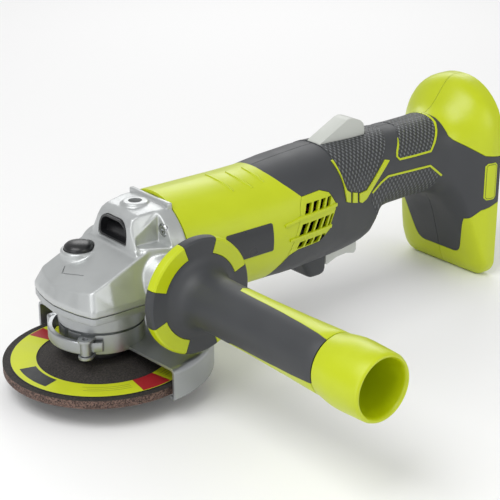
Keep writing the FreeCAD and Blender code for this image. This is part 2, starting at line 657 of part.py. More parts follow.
def gear_housing():
    barrel = cylinder("head_barrel", "motor_radius", "8", ("head_rear - 8", "0", "motor_height"), "X")
    spigot = cylinder("head_spigot", "motor_radius - motor_wall - fit", "5", ("head_rear", "0", "motor_height"), "X")
    lip = block("head_lip", ("head_rear - 3", "-19", "motor_height + 22"),
                ("head_rear", "19", "motor_height + motor_radius - 0.6"))
    bosses = [cone("boss_near", "boss_radius + 5", "boss_radius", "boss_end - 24", ("side_x", "-24", "side_z"), "-Y"),
              cone("boss_far", "boss_radius + 5", "boss_radius", "boss_end - 24", ("side_x", "24", "side_z"), "Y")]
    top_boss = cylinder("boss_top", "8.5", "16", ("side_x", "0", "hump_top - 15.2"))
    rim = cylinder("button_boss", "button_radius + 2.8", "14", ("button_x", "button_y", "button_rim - 14"))
    solid = fuse("head_solid", [head_block(), hump(), barrel, spigot, lip, top_boss, rim] + bosses)
    tools = [
        turned("gear_room", [("0", "head_base - 5"), ("cone_length + 0.4", "head_base - 5"),
                             ("cone_length + 0.4", "deck_front - 1.5"), ("12", "bush_base - 0.7"),
                             ("0", "bush_base - 0.7")]),
        cylinder("bush_seat", "bush_radius", "bush_length + 1", ("0", "0", "bush_base - 1")),
        cylinder("pinion_room", "9.6", "front_bearing_at - 9", ("9", "0", "motor_height"), "X"),
        cylinder("front_seat", "front_bearing", "front_bearing_width + 10",
                 ("front_bearing_at", "0", "motor_height"), "X"),
        block("air_duct", ("hump_front - 4", "-12.5", "deck_back + 3.2"), ("head_rear + 8", "12.5", "hump_top - 8")),
        cylinder("fan_side", "motor_radius - motor_wall - 2", "7", ("head_rear - 1", "0", "motor_height"), "X"),
        block("cap_room", ("-60", "-60", "0"), (f"{CAP_REAR} + 0.1", "60", "head_base")),
        ring("behind_head", "60", "motor_radius - motor_wall - fit", "head_rear", "head_rear + 12", MOTOR, "X"),
        cylinder("button_seat", "button_radius + 0.2", "16", ("button_x", "button_y", "button_rim - 5")),
        cylinder("spring_seat", "4.3", "10", (PIN_X, PIN_Y, "button_rim - 7")),
        cylinder("pin_bore", "lock_pin + fit", "20", (PIN_X, PIN_Y, "gear_base + gear_web")),
        block("window_seat", ("hump_front - 6", "-14", "deck_back + 2"), ("hump_front + 9", "14", "hump_top - 7"))]
    for name, y, axis in (("near", "-boss_end", "Y"), ("far", "boss_end", "-Y")):
        tools.append(cylinder(f"thread_{name}", "thread_radius", "thread_depth", ("side_x", y, "side_z"), axis))
    tools.append(cylinder("thread_top", "thread_radius", "thread_depth - 4", ("side_x", "0", "hump_top + 0.8 - thread_depth + 4")))
    for i, (x, y) in enumerate(CAP_SPOTS):
        tools.append(cylinder(f"head_tap_{i}", "2.05", "9", (x, y, "head_base - 1")))
    for i, (y, z) in enumerate(HOUSING_SPOTS):
        tools.append(cylinder(f"head_through_{i}", "2.05 + fit", "40", ("head_rear - 12", y, z), "X"))
        tools.append(cylinder(f"head_counter_{i}", "4.4", "22", ("head_rear - 30", y, z), "X"))
    return cut("gear_housing", solid, tools)


PIN_SCALE = "lock_circle / sqrt(button_x * button_x + button_y * button_y)"
PIN_X = f"button_x * {PIN_SCALE}"
PIN_Y = f"button_y * {PIN_SCALE}"
HOUSING_SPOTS = [(f"{a} * screw_y", f"motor_height + {b} * screw_z") for a in (-1, 1) for b in (-1, 1)]


def housing_screws():
    spots = [("head_rear - 8.02", y, z) for y, z in HOUSING_SPOTS]
    return screws("housing_screws", "2.0", "3.7", "2.8", "22", spots, "X")


def exhaust_insert():
    """The black louvred insert in the air outlet on the front of the hump."""
    frame = block("insert_frame", ("hump_front + 2.2", "-13.8", "deck_back + 2.2"),
                  ("hump_front + 8.2", "13.8", "hump_top - 7.2"))
    slots = []
    for i in range(3):
        slots.append(block(f"insert_slot_{i}", ("hump_front + 1", f"{-11 + 7.6 * i}", "deck_back + 4"),
                           ("hump_front + 10", f"{-11 + 7.6 * i + 6.2}", "hump_top - 9")))
    return cut("exhaust_insert", frame, slots)


def lock_button():
    cap = turned("button_cap", [
        ("0", "button_rim - 0.4"), ("button_radius", "button_rim - 0.4"), ("button_radius", "button_rim + 1.2", "1"),
        ("button_radius * 0.55", "button_rim + 4.2", "6"), ("0", "button_rim + 4.2")],
        ("button_x", "button_y", "0"))
    pin = cylinder("button_pin", "lock_pin", "button_rim - gear_base - gear_web - 0.6 + 1",
                   (PIN_X, PIN_Y, "gear_base + gear_web + 0.6"))
    return fuse("lock_button", [cap, pin])


def lock_spring():
    return coil("lock_spring", "3.2", "0.35", "6.3", 5, (PIN_X, PIN_Y, "button_rim - 6.9"))


# ---------------------------------------------------------------- guard
BAND_BASE = "guard_top - guard_sheet"
LEVER_PIN_ANGLE = 218
LEVER_ARC = "lever_reach - 0.5 * lever_sheet"
PIN_SPOT = (f"({LEVER_ARC}) * {math.cos(math.radians(LEVER_PIN_ANGLE)):.6f}",
            f"({LEVER_ARC}) * {math.sin(math.radians(LEVER_PIN_ANGLE)):.6f}")


def guard_shield():
    shell = turned("guard_shield", [
        ("neck_radius + 0.08 + band_sheet", BAND_BASE), ("guard_radius - guard_sheet", BAND_BASE, "2"),
        ("guard_radius - guard_sheet", "guard_low + guard_sheet"),
        ("guard_radius - guard_sheet - 2.4", "guard_low + guard_sheet"), ("guard_radius - guard_sheet - 2.4", "guard_low"),
        ("guard_radius", "guard_low"), ("guard_radius", "guard_top", "3.5"),
        ("neck_radius + 0.08 + band_sheet", "guard_top")], sweep=180, spin=size("guard_turn"))
    return shell


def guard_band():
    strip = ring("band_strip", "neck_radius + 0.08 + band_sheet", "neck_radius + 0.08", BAND_BASE, "band_top")
    lugs = []
    for name, low, high in (("low", BAND_BASE, f"{BAND_BASE} + 1.6"), ("high", "band_top - 1.6", "band_top")):
        lugs.append(cylinder(f"band_eye_{name}", "4.2", f"({high}) - ({low})", (PIN_SPOT[0], PIN_SPOT[1], low)))
        arm = padded(f"band_arm_{name}", "XY_Plane", [
            ("neck_radius + 0.6", "-4.2"), (LEVER_ARC, "-4.2"), (LEVER_ARC, "4.2"), ("neck_radius + 0.6", "4.2")],
            low, high)
        lugs.append(place(arm, ORIGIN, "Z", LEVER_PIN_ANGLE))
    pin_hole = cylinder("band_pin_hole", "1.6 + fit", "20", (PIN_SPOT[0], PIN_SPOT[1], f"{BAND_BASE} - 2"))
    split = padded("band_split", "XY_Plane", [
        ("-neck_radius - 12", "-3"), ("-neck_radius + 6", "-3"), ("-neck_radius + 6", "1"), ("-neck_radius - 12", "1")],
        f"{BAND_BASE} - 2", "band_top + 2")
    return cut("guard_band", fuse("band_solid", [strip] + lugs), [pin_hole, split])


def clamp_pin():
    return turned("clamp_pin", [
        ("0", f"{BAND_BASE} - 0.1"), ("1.6", f"{BAND_BASE} - 0.1"), ("1.6", "band_top"), ("2.6", "band_top"),
        ("2.6", "band_top + 0.8"), ("0", "band_top + 0.8")], (PIN_SPOT[0], PIN_SPOT[1], "0"))


LEVER_SWEEP = 92


def clamp_lever():
    """A curved lever round the front of the band, from its pin to a tip that stands off for the finger."""
    low, high = f"{BAND_BASE} + 1.9", "band_top - 1.9"
    strip = turned("lever_strip", [
        ("lever_reach - lever_sheet", low), ("lever_reach", low), ("lever_reach", high),
        ("lever_reach - lever_sheet", high)], sweep=LEVER_SWEEP, spin=LEVER_PIN_ANGLE - LEVER_SWEEP / 2)
    eye = cylinder("lever_eye", "3.6", f"({high}) - ({low})", (PIN_SPOT[0], PIN_SPOT[1], low))
    tip = padded("lever_tip", "XY_Plane", [
        ("lever_reach - lever_sheet", "0.5"), ("lever_reach + 1", "-10", "1.2"), ("lever_reach + 3.5", "-9", "1.2"),
        ("lever_reach", "0.5")], low, high)
    place(tip, ORIGIN, "Z", LEVER_PIN_ANGLE - LEVER_SWEEP)
    hole = cylinder("lever_hole", "1.6 + fit", "30", (PIN_SPOT[0], PIN_SPOT[1], f"{low} - 5"))
    return cut("clamp_lever", fuse("lever_solid", [strip, eye, tip]), [hole])


# ---------------------------------------------------------------- motor
def pinion_shaft():
    rear_end = "rear_bearing_at + rear_bearing_width + 1"
    return turned("armature_shaft", [
        ("0", "cone_length - face_width - 1"), ("pinion_bore", "cone_length - face_width - 1"),
        ("pinion_bore", "front_bearing_at - 0.25"), ("shaft_radius", "front_bearing_at - 0.25"),
        ("shaft_radius", "rear_bearing_at"), ("shaft_radius - 0.5", "rear_bearing_at"),
        ("shaft_radius - 0.5", rear_end), ("0", rear_end)], MOTOR, "X")


def front_armature_bearing():
    return bearing("front_armature_bearing", "front_bearing - fit", "shaft_radius + fit", "front_bearing_at",
                   "front_bearing_at + front_bearing_width", MOTOR, "X")


def rear_armature_bearing():
    return bearing("rear_armature_bearing", "rear_bearing - fit", "shaft_radius - 0.5 + fit", "rear_bearing_at + 0.1",
                   "rear_bearing_at + rear_bearing_width", MOTOR, "X")


SLOTS = 12


def rotor_core():
    stack = ring("core_stack", "core_radius", "shaft_radius + fit", "core_front", "core_rear", MOTOR, "X")
    slots = []
    for i in range(SLOTS):
        tool = padded(f"core_slot_{i}", "XY_Plane", [
            ("8.5", "-1.7"), ("core_radius - 2", "-2.3"), ("core_radius - 2", "-0.9"), ("core_radius + 2", "-0.9"),
            ("core_radius + 2", "0.9"), ("core_radius - 2", "0.9"), ("core_radius - 2", "2.3"), ("8.5", "1.7")],
            "core_front - 1", "core_rear + 1")
        slots.append(place(tool, MOTOR, "X", 360 * i / SLOTS))
    return cut("rotor_core", stack, slots)


def coil_windings():
    front = turned("coil_front", [
        ("6", "core_front - 0.2"), ("6", "core_front - 5"), ("9", "core_front - 6.5"), ("15", "core_front - 6"),
        ("core_radius - 2.4", "core_front - 2"), ("core_radius - 2.4", "core_front - 0.2")], MOTOR, "X")
    rear = turned("coil_rear", [
        ("6", "core_rear + 0.2"), ("core_radius - 2.4", "core_rear + 0.2"), ("core_radius - 2.4", "core_rear + 2"),
        ("15", "core_rear + 6"), ("9", "core_rear + 6.8"), ("6", "core_rear + 5.2")], MOTOR, "X")
    bars = []
    for i in range(SLOTS):
        bar = padded(f"coil_bar_{i}", "XY_Plane", [
            ("8.8", "-1.4"), ("core_radius - 2.5", "-1.8"), ("core_radius - 2.5", "1.8"), ("8.8", "1.4")],
            "core_front - 1", "core_rear + 1")
        bars.append(place(bar, MOTOR, "X", 360 * i / SLOTS))
    return fuse("coil_windings", [front, rear] + bars)


BARS = 24


def commutator():
    drum = ring("commutator_drum", "commutator_radius", "shaft_radius + fit", "can_rear + 2.8", "can_rear + 14.6", MOTOR, "X")
    grooves = []
    for i in range(BARS):
        tool = padded(f"commutator_groove_{i}", "XY_Plane", [
            ("commutator_radius - 0.8", "-0.25"), ("commutator_radius + 1", "-0.25"), ("commutator_radius + 1", "0.25"),
            ("commutator_radius - 0.8", "0.25")], "can_rear + 5", "can_rear + 20")
        grooves.append(place(tool, MOTOR, "X", 360 * i / BARS))
    return cut("commutator", drum, grooves)


BLADES = 9


def cooling_fan():
    hub = ring("fan_hub", "8.5", "shaft_radius + fit", "fan_at", "fan_at + fan_width + 0.2", MOTOR, "X")
    plate = ring("fan_plate", "fan_radius", "8", "fan_at + fan_width - 1.4", "fan_at + fan_width", MOTOR, "X")
    blades = []
    for i in range(BLADES):
        blade = padded(f"fan_blade_{i}", "XY_Plane", [
            ("7.5", "-0.6"), ("fan_radius - 1.8", "-7.6"), ("fan_radius - 0.8", "-6.2"), ("7.5", "0.8")],
            "fan_at", "fan_at + fan_width - 1")
        blades.append(place(blade, MOTOR, "X", 360 * i / BLADES))
    return fuse("cooling_fan", [hub, plate] + blades)


def air_baffle():
    return turned("air_baffle", [
        ("fan_radius - 5", "fan_at + fan_width + 1.2"), ("motor_radius - motor_wall - fit", "fan_at + fan_width + 1.2"),
        ("motor_radius - motor_wall - fit", "can_front - 0.6"), ("motor_radius - motor_wall - 1.6", "can_front - 0.6"),
        ("motor_radius - motor_wall - 1.6", "fan_at + fan_width + 2.6"), ("fan_radius - 5", "fan_at + fan_width + 2.6")],
        MOTOR, "X")


def stator_can():
    return ring("stator_can", "can_radius", "can_radius - can_wall", "can_front", "can_rear", MOTOR, "X")


def magnets():
    tiles = []
    for i in range(4):
        tile = turned(f"magnet_{i}", [
            ("can_radius - can_wall - magnet_thick", "core_front - 2"), ("can_radius - can_wall - fit", "core_front - 2"),
            ("can_radius - can_wall - fit", "core_rear + 2"), ("can_radius - can_wall - magnet_thick", "core_rear + 2")],
            MOTOR, "X", 76, 45 + 90 * i)
        tiles.append(tile)
    return fuse("magnets", tiles)


def end_bell():
    """The motor's rear end: a cup on the can that holds the brush holders and the rear bearing."""
    cup = turned("bell_cup", [
        ("commutator_radius + 3", "can_rear"), ("can_radius", "can_rear"), ("can_radius", "rear_bearing_at + 6"),
        ("rear_bearing - 2.5", "rear_bearing_at + 7.6"), ("rear_bearing - 2.5", "rear_bearing_at + rear_bearing_width"),
        ("rear_bearing", "rear_bearing_at + rear_bearing_width"), ("rear_bearing", "rear_bearing_at"),
        ("can_radius - 2.6", "rear_bearing_at - 0.6"), ("can_radius - 2.6", "can_rear + 2.4"),
        ("commutator_radius + 3", "can_rear + 2.4")], MOTOR, "X")
    tools = []
    for side in (-1, 1):
        tools.append(block(f"bell_brush_window_{side + 1}", ("can_rear + 3.4", f"{side} * 25.5 - 5.5", "motor_height - 5.6"),
                           ("can_rear + 14.6", f"{side} * 25.5 + 5.5", "motor_height + 5.6")))
    for i in range(4):
        vent = padded(f"bell_vent_{i}", "XY_Plane", [
            ("rear_bearing + 3", "-5"), ("can_radius - 4", "-5"), ("can_radius - 4", "5"), ("rear_bearing + 3", "5")],
            "rear_bearing_at - 6", "rear_bearing_at + 12")
        tools.append(place(vent, MOTOR, "X", 45 + 90 * i))
    return cut("end_bell", cup, tools)


BRUSH_X = ("can_rear + 5", "can_rear + 13")
BRUSH_Z = ("motor_height - 4", "motor_height + 4")


def both_sides(name, low, high, reach):
    """A pair of boxes, mirrored about the middle plane, between two distances from it."""
    pair = []
    for i, (a, b) in enumerate(((reach[0], reach[1]), (f"-({reach[1]})", f"-({reach[0]})"))):
        pair.append(block(f"{name}_{i}", (low[0], a, low[1]), (high[0], b, high[1])))
    return pair


def carbon_brushes():
    pair = both_sides("brush", (BRUSH_X[0], BRUSH_Z[0]), (BRUSH_X[1], BRUSH_Z[1]), ("commutator_radius - 0.6", "19"))
    drum = cylinder("brush_seat", "commutator_radius + 0.1", "30", ("can_rear", "0", "motor_height"), "X")
    return cut("carbon_brushes", fuse("brush_pair", pair), [drum])


def brush_holders():
    shells = both_sides("holder", ("can_rear + 3.6", "motor_height - 5.4"), ("can_rear + 14.4", "motor_height + 5.4"),
                        ("13", "26.8"))
    rooms = both_sides("holder_room", ("can_rear + 4.9", "motor_height - 4.1"), ("can_rear + 13.1", "motor_height + 4.1"),
                       ("10", "25.8"))
    return cut("brush_holders", fuse("holder_shells", shells), rooms)


def brush_springs():
    return fuse("brush_springs", [
        coil("brush_spring_far", "2.6", "0.35", "6.6", 5, ("can_rear + 9", "19.1", "motor_height"), "Y"),
        coil("brush_spring_near", "2.6", "0.35", "6.6", 5, ("can_rear + 9", "-19.1", "motor_height"), "-Y")])


# ---------------------------------------------------------------- motor housing
def seam_region(name, shift):
    """Everything behind the curved joint between motor housing and handle shells."""
    return padded(name, "XZ_Plane", [
        (f"seam_top_x + {shift}", "motor_height + 120"), (f"seam_top_x + {shift}", "motor_height + motor_radius - 2"),
        (f"seam_x + {shift}", "motor_height + 22", "16"), (f"seam_x + {shift}", "motor_height", "30"),
        (f"seam_low_x + {shift}", "motor_height - motor_radius + 3"), (f"seam_low_x + {shift}", "motor_height - 120"),
        ("collar_rear + 40", "motor_height - 120"), ("collar_rear + 40", "motor_height + 120")], "-90", "90")


def motor_housing():
    inner = "motor_radius - motor_wall"
    tube = ring("housing_tube", "motor_radius", inner, "head_rear + 0.02", "seam_x", MOTOR, "X")
    trimmed = cut("housing_trimmed", tube, [seam_region("housing_seam", "-0.2")])
    rings = [ring(f"housing_ring_{i}", f"{inner} + 0.5", "can_radius + fit", at, f"{at} + 3", MOTOR, "X")
             for i, at in enumerate(("can_front + 2", "can_rear - 8"))]
    spigot = turned("housing_spigot", [
        ("motor_radius - skin - shell_wall - 2.2", "seam_top_x - 12"), (f"{inner} + 0.5", "seam_top_x - 12"),
        (f"{inner} + 0.5", "seam_top_x - 8"), ("motor_radius - skin - shell_wall - 0.3", "seam_top_x - 4"),
        ("motor_radius - skin - shell_wall - 0.3", "seam_x + 3"), ("motor_radius - skin - shell_wall - 2.2", "seam_x + 3")],
        MOTOR, "X")
    posts = []
    tools = []
    for i, (y, z) in enumerate(HOUSING_SPOTS):
        posts.append(common(f"housing_post_{i}",
                            cylinder(f"housing_post_bar_{i}", "4.6", "15", ("head_rear + 0.02", y, z), "X"),
                            cylinder(f"housing_post_limit_{i}", "motor_radius - 0.2", "30", ("head_rear", "0", "motor_height"), "X")))
        tools.append(cylinder(f"housing_tap_{i}", "2.05 + fit", "16", ("head_rear - 1", y, z), "X"))
    tools.append(cylinder("housing_mouth", "motor_radius - motor_wall", "6.2", ("head_rear - 1", "0", "motor_height"), "X"))
    for i in range(6):
        slot = padded(f"housing_air_{i}", "XY_Plane", [
            ("can_radius + 1", "-5"), (f"{inner} - 0.4", "-5"), (f"{inner} - 0.4", "5"), ("can_radius + 1", "5")],
            "can_front", "can_rear")
        tools.append(place(slot, MOTOR, "X", 30 + 60 * i))
    return cut("motor_housing", fuse("housing_solid", [trimmed, spigot] + rings + posts), tools)


def nameplates():
    sheet_ring = ring("plate_ring", "motor_radius + 0.6", "motor_radius + 0.02", "64", "99", MOTOR, "X")
    limits = [block("plate_near", ("60", "-60", "motor_height - 7"), ("110", "-20", "motor_height + 10.5")),
              block("plate_far", ("60", "20", "motor_height - 7"), ("110", "60", "motor_height + 10.5"))]
    return common("nameplates", sheet_ring, fuse("plate_limits", limits))


# ---------------------------------------------------------------- handle shells and overmould
def handle_section(low, high, half, round_top, round_low, inset):
    """The handle's outline across X, moved inwards all round by the inset."""
    low, high, half = f"({low}) + {inset}", f"({high}) - ({inset})", f"({half}) - ({inset})"
    top, bottom = f"({round_top}) - ({inset})", f"({round_low}) - ({inset})"
    return [(f"-({half})", low, bottom), (half, low, bottom), (half, high, top), (f"-({half})", high, top)]


MOTOR_LOW = "motor_height - motor_radius"
MOTOR_HIGH = "motor_height + motor_radius"
HANDLE = [
    # distance along X, low, high, half width, rounding above, rounding below, how far an inset moves it in X
    ("seam_top_x - 7", MOTOR_LOW, MOTOR_HIGH, "motor_radius", "34", "34", 0),
    ("seam_x", f"{MOTOR_LOW} - 0.2", f"{MOTOR_HIGH} + 1.6", "motor_radius", "34", "34", 0),
    ("seam_x + 23", f"{MOTOR_LOW} + 0.4", f"{MOTOR_HIGH} + 2.8", "motor_radius - 1.8", "31", "31", 0),
    ("slider_front + 1", f"{MOTOR_LOW} + 1.4", f"{MOTOR_HIGH} + 4", "motor_radius - 5.4", "27", "26", 0),
    ("neck_end - 14", f"{MOTOR_LOW} + 3.4", "grip_high - 0.2", "grip_half + 2.8", "24", "20", 0),
    ("neck_end", f"{MOTOR_LOW} + 6.4", "grip_high - 0.2", "grip_half + 0.8", "22", "18", -0.6),
    ("grip_start", "grip_low - 0.8", "grip_high", "grip_half + 0.2", "21.5", "18", 0),
    ("grip_start + 29", "grip_low + 0.4", "grip_high - 0.6", "grip_half", "21.5", "20", 0),
    ("grip_end", "grip_low - 0.8", "grip_high + 0.4", "grip_half + 0.4", "22", "20", 0.3),
    ("grip_end + 11", "grip_low - 10", "grip_high + 8.6", "grip_half + 4.6", "25", "14", 0.8),
    ("collar_front - 5", "collar_low + 17", "collar_high - 1.6", "collar_half - 3.4", "33.5", "12", 0.9),
    ("collar_front", "collar_low", "collar_high", "collar_half", "37", "12", 0.9),
    ("collar_rear", "collar_low", "collar_high", "collar_half", "37", "12", 0)]


def envelope(name, inset):
    """The handle's solid outer form from the motor to the collar, moved inwards by the inset."""
    sections = []
    for x, low, high, half, round_top, round_low, share in HANDLE:
        at = f"({x}) + {share} * ({inset})" if share else x
        sections.append((at, handle_section(low, high, half, round_top, round_low, inset)))
    form = lofted(name, "YZ_Plane", sections)
    guard_bump = padded(name + "_bump", "XZ_Plane", [
        (f"142 + ({inset})", f"{MOTOR_LOW} + 6"), (f"150.5 + 0.5 * ({inset})", f"9.3 + ({inset})", "4"),
        (f"161.5 - 0.5 * ({inset})", f"9.3 + ({inset})", "2.5"), (f"163.4 - ({inset})", f"{MOTOR_LOW} + 6")],
        f"-11 + ({inset})", f"11 - ({inset})")
    return fuse(name + "_form", [form, guard_bump])


def rubber_region(name):
    """Where the handle is covered by rubber: neck, grip and a band round the collar, without the side vents."""
    neck = padded(name + "_neck", "XZ_Plane", [
        ("60", "-60"), ("grip_end + 3", "-60"), ("grip_end + 3", "grip_low - 30"), ("grip_end + 9", "grip_low - 30"),
        ("grip_end + 7", "80"), ("grip_end + 3", "130"), ("60", "130")], "-90", "90")
    belt = block(name + "_belt", ("grip_end", "-90", "33.5"), ("collar_rear + 2", "90", "69"))
    tongue = block(name + "_tongue", ("grip_end", "-19", "0"), ("collar_rear - 3", "19", "45"))
    vents = padded(name + "_vents", "XZ_Plane", [
        ("seam_x - 20", "motor_height + 20"), ("seam_x + 14", "motor_height + 20"), ("seam_x + 29", "motor_height + 11"),
        ("seam_x + 27", "motor_height - 2"), ("seam_x + 15", "motor_height - 8"), ("seam_x - 20", "motor_height - 16")],
        "-90", "90")
    return cut(name, fuse(name + "_sum", [neck, belt, tongue]), [vents])


def vent_slots():
    """Three rows of slanted slots through both sides, behind the motor."""
    tools = []
    for row, (low, high, count) in enumerate((("-6", "-1", 4), ("1.2", "8.4", 5), ("10.6", "17.5", 4))):
        for i in range(count):
            start = f"seam_x + {5 + 4.6 * i + 1.5 * (row == 0)}"
            lean = 2.6
            slot = padded(f"vent_{row}_{i}", "XZ_Plane", [
                (f"{start} + {row}", f"motor_height + {low}"), (f"{start} + {row} + 2.4", f"motor_height + {low}"),
                (f"{start} + {row} + 2.4 + {lean}", f"motor_height + {high}"),
                (f"{start} + {row} + {lean}", f"motor_height + {high}")], "-60", "60")
            tools.append(slot)
    return tools


POSTS = [("141", "84"), ("141", "29"), ("214", "83"), ("214", "53"), ("277", "100"), ("280.3", "27")]


SCREW_SEAT = "14"
LEAD_HEIGHT = "62"


def post_holes(name, side):
    """Tapped holes in the left shell's posts, and clearance holes with deep counterbores in the right shell's."""
    tools = []
    for i, (x, z) in enumerate(POSTS):
        if side < 0:
            tools.append(cylinder(f"{name}_tap_{i}", "2.0 + fit", "12.5", (x, "-12.4", z), "Y"))
        else:
            tools.append(cylinder(f"{name}_way_{i}", "2.3", "20", (x, "-2", z), "Y"))
            tools.append(cylinder(f"{name}_counter_{i}", "4.1", "60", (x, SCREW_SEAT, z), "Y"))
    return tools


def handle_cuts():
    """What is cut through the shells and the rubber alike: trigger and slider slots, battery recess and stem socket."""
    return [
        block("trigger_slot", ("trigger_front - 0.6", "-trigger_half - 0.5", "-10"),
              ("trigger_rear + 0.6", "trigger_half + 0.5", "36")),
        block("slider_slot", ("slider_front + 7.4", "-3.4", "80"), ("slider_front + 23.6", "3.4", "110"))]


def collar_cuts():
    recess = padded("collar_recess", "YZ_Plane",
                    handle_section("collar_low", "collar_high", "collar_half", "37", "12", "4"),
                    "collar_rear - recess_depth", "collar_rear + 5")
    stem = block("stem_socket", ("stem_end", "-stem_half", "stem_low"), ("collar_rear + 5", "stem_half", "stem_high"))
    return [recess, stem]


def handle_halves():
    """Both shells and both rubber covers, cut from one form along the middle plane."""
    outer = envelope("outer", "0")
    under = envelope("under", "skin")
    inner = envelope("inner", "skin + shell_wall")
    stop = block("inner_stop", ("0", "-90", "-90"), ("collar_rear - recess_depth - shell_wall", "90", "180"))
    hollow = common("handle_hollow", inner, stop)
    socket_wall = block("socket_wall", ("stem_end - 2", "-stem_half - 2", "stem_low - 2"),
                        ("collar_rear - recess_depth - 1", "stem_half + 2", "stem_high + 3.2"))
    behind = seam_region("shell_seam", "0")
    rubber = rubber_region("rubber_zone")
    skin_band = cut("skin_band", outer, [under])
    rubber_all = common("rubber_all", common("rubber_band", skin_band, rubber), behind)
    bare = cut("bare_band", outer, [rubber])
    base = cut("shell_base", fuse("shell_sum", [under, bare]), [hollow])
    walls = common("socket_walls", socket_wall, under)
    base = common("shell_behind", fuse("shell_walled", [base, walls]), behind)
    cuts = handle_cuts() + collar_cuts()
    ways = [cylinder(f"screw_way_{i}", "4.3", "60", (x, SCREW_SEAT, z), "Y") for i, (x, z) in enumerate(POSTS)]
    rubber_cut = cut("rubber_cut", rubber_all, cuts + ways)
    vents = vent_slots()
    leads = [cylinder(f"lead_way_{i}", "1.9", "12", ("stem_end - 8", f"{side} * 5", LEAD_HEIGHT), "X")
             for i, side in enumerate((-1, 1))]
    stopper = common("slider_stop", block("slider_stop_block", ("slider_front - 5", "-5", "82"),
                                          ("slider_front - 2.6", "5", "94")), under)
    pieces = []
    for side, name in ((-1, "left"), (1, "right")):
        half = block(f"{name}_half", ("0", "-90" if side < 0 else "0.01", "-90"),
                     ("400", "-0.01" if side < 0 else "90", "200"))
        posts = common(f"{name}_posts", fuse(f"{name}_post_bars", [
            cylinder(f"{name}_post_{i}", "3.6" if side < 0 else "5.2", "60", (x, f"{-60 if side < 0 else 0}", z), "Y")
            for i, (x, z) in enumerate(POSTS)]), under)
        solid = fuse(f"{name}_shell_sum", [base, posts, stopper])
        whole = cut(f"{name}_shell_cut", solid, cuts + vents + leads + post_holes(name, side))
        pieces.append(common(f"{name}_handle_shell", whole, half))
        pieces.append(common(f"{name}_overmould", rubber_cut, half))
    return pieces


def handle_screws():
    return screws("handle_screws", "2.0", "3.7", "2.4", "26", [(x, f"{SCREW_SEAT} + 0.02", z) for x, z in POSTS], "-Y")


# ---------------------------------------------------------------- trigger, lock-off slider and switch
TRIGGER_TOP = "33.4"
SWITCH_BASE = "42.6"


def trigger():
    low = padded("trigger_paddle", "XZ_Plane", [
        ("trigger_front", "32"), ("trigger_front", "13.8", "1.5"), ("trigger_front + 6", "16.2", "6"),
        ("trigger_front + 15", "17", "9"), ("trigger_rear - 1.6", "15.4", "1.6"), ("trigger_rear - 0.4", "19"),
        ("trigger_rear", "26"), ("trigger_rear", "32")], "-trigger_half", "trigger_half")
    flange = block("trigger_flange", ("trigger_front - 1.8", "-10.4", "31.9"),
                   ("trigger_rear + 0.7", "10.4", TRIGGER_TOP))
    return fuse("trigger", [low, flange])


def trigger_spring():
    return coil("trigger_spring", "3.2", "0.4", f"{SWITCH_BASE} - {TRIGGER_TOP}", 5,
                ("trigger_front + 13", "0", TRIGGER_TOP))


def switch_body():
    box = block("switch_box", ("trigger_front + 2", "-9.5", SWITCH_BASE), ("neck_end + 4", "9.5", "68"))
    rib = block("switch_rib", ("trigger_front + 8", "-7", "68"), ("neck_end - 3", "7", "71"))
    return fuse("switch_body", [box, rib])


SLIDER_LOW = "grip_high + 0.6"


def lock_off_slider():
    fin = padded("slider_fin", "XZ_Plane", [
        ("slider_front", SLIDER_LOW), ("slider_front + 26", "slider_high", "5"),
        ("slider_rear - 3.5", "slider_high - 2.6", "4"), ("slider_rear", "slider_high - 8.4", "2"),
        ("slider_rear", SLIDER_LOW)], "-slider_half", "slider_half")
    stem = block("slider_stem", ("slider_front + 13", "-3", "87"), ("slider_front + 22", "3", f"{SLIDER_LOW} + 1"))
    foot = block("slider_foot", ("slider_front + 7", "-6", "84.4"), ("slider_front + 29", "6", "87"))
    return fuse("lock_off_slider", [fin, stem, foot])


def lock_off_spring():
    return coil("lock_off_spring", "1.7", "0.3", "9.4", 6, ("slider_front - 2.5", "0", "85.8"), "X")


def terminal_block():
    return block("terminal_block", ("stem_end + 0.1", "-13", "57"), ("stem_end + 7", "13", "83"))


def terminal_blades():
    blades = [block(f"terminal_blade_{i}", ("stem_end + 7.02", f"{y} - 0.5", "62"), ("stem_end + 19", f"{y} + 0.5", "76"))
              for i, y in enumerate((-8, 0, 8))]
    return fuse("terminal_blades", blades)


def battery_leads():
    return fuse("battery_leads", [
        cylinder(f"battery_lead_{i}", "1.4", "stem_end - neck_end - 4 + 0.05", ("neck_end + 4.02", f"{side} * 5", LEAD_HEIGHT), "X")
        for i, side in enumerate((-1, 1))])


def motor_leads():
    start = "rear_bearing_at + 8"
    return fuse("motor_leads", [
        cylinder(f"motor_lead_{i}", "1.3", f"trigger_front + 1.95 - ({start})", (start, f"{side} * 8", "motor_height"), "X")
        for i, side in enumerate((-1, 1))])


# ---------------------------------------------------------------- side handle
SIDE = ("side_x", "0", "side_z")
SLEEVE_END = "handle_end - 37.6"
STUD_HEAD = "disc_face + 2"


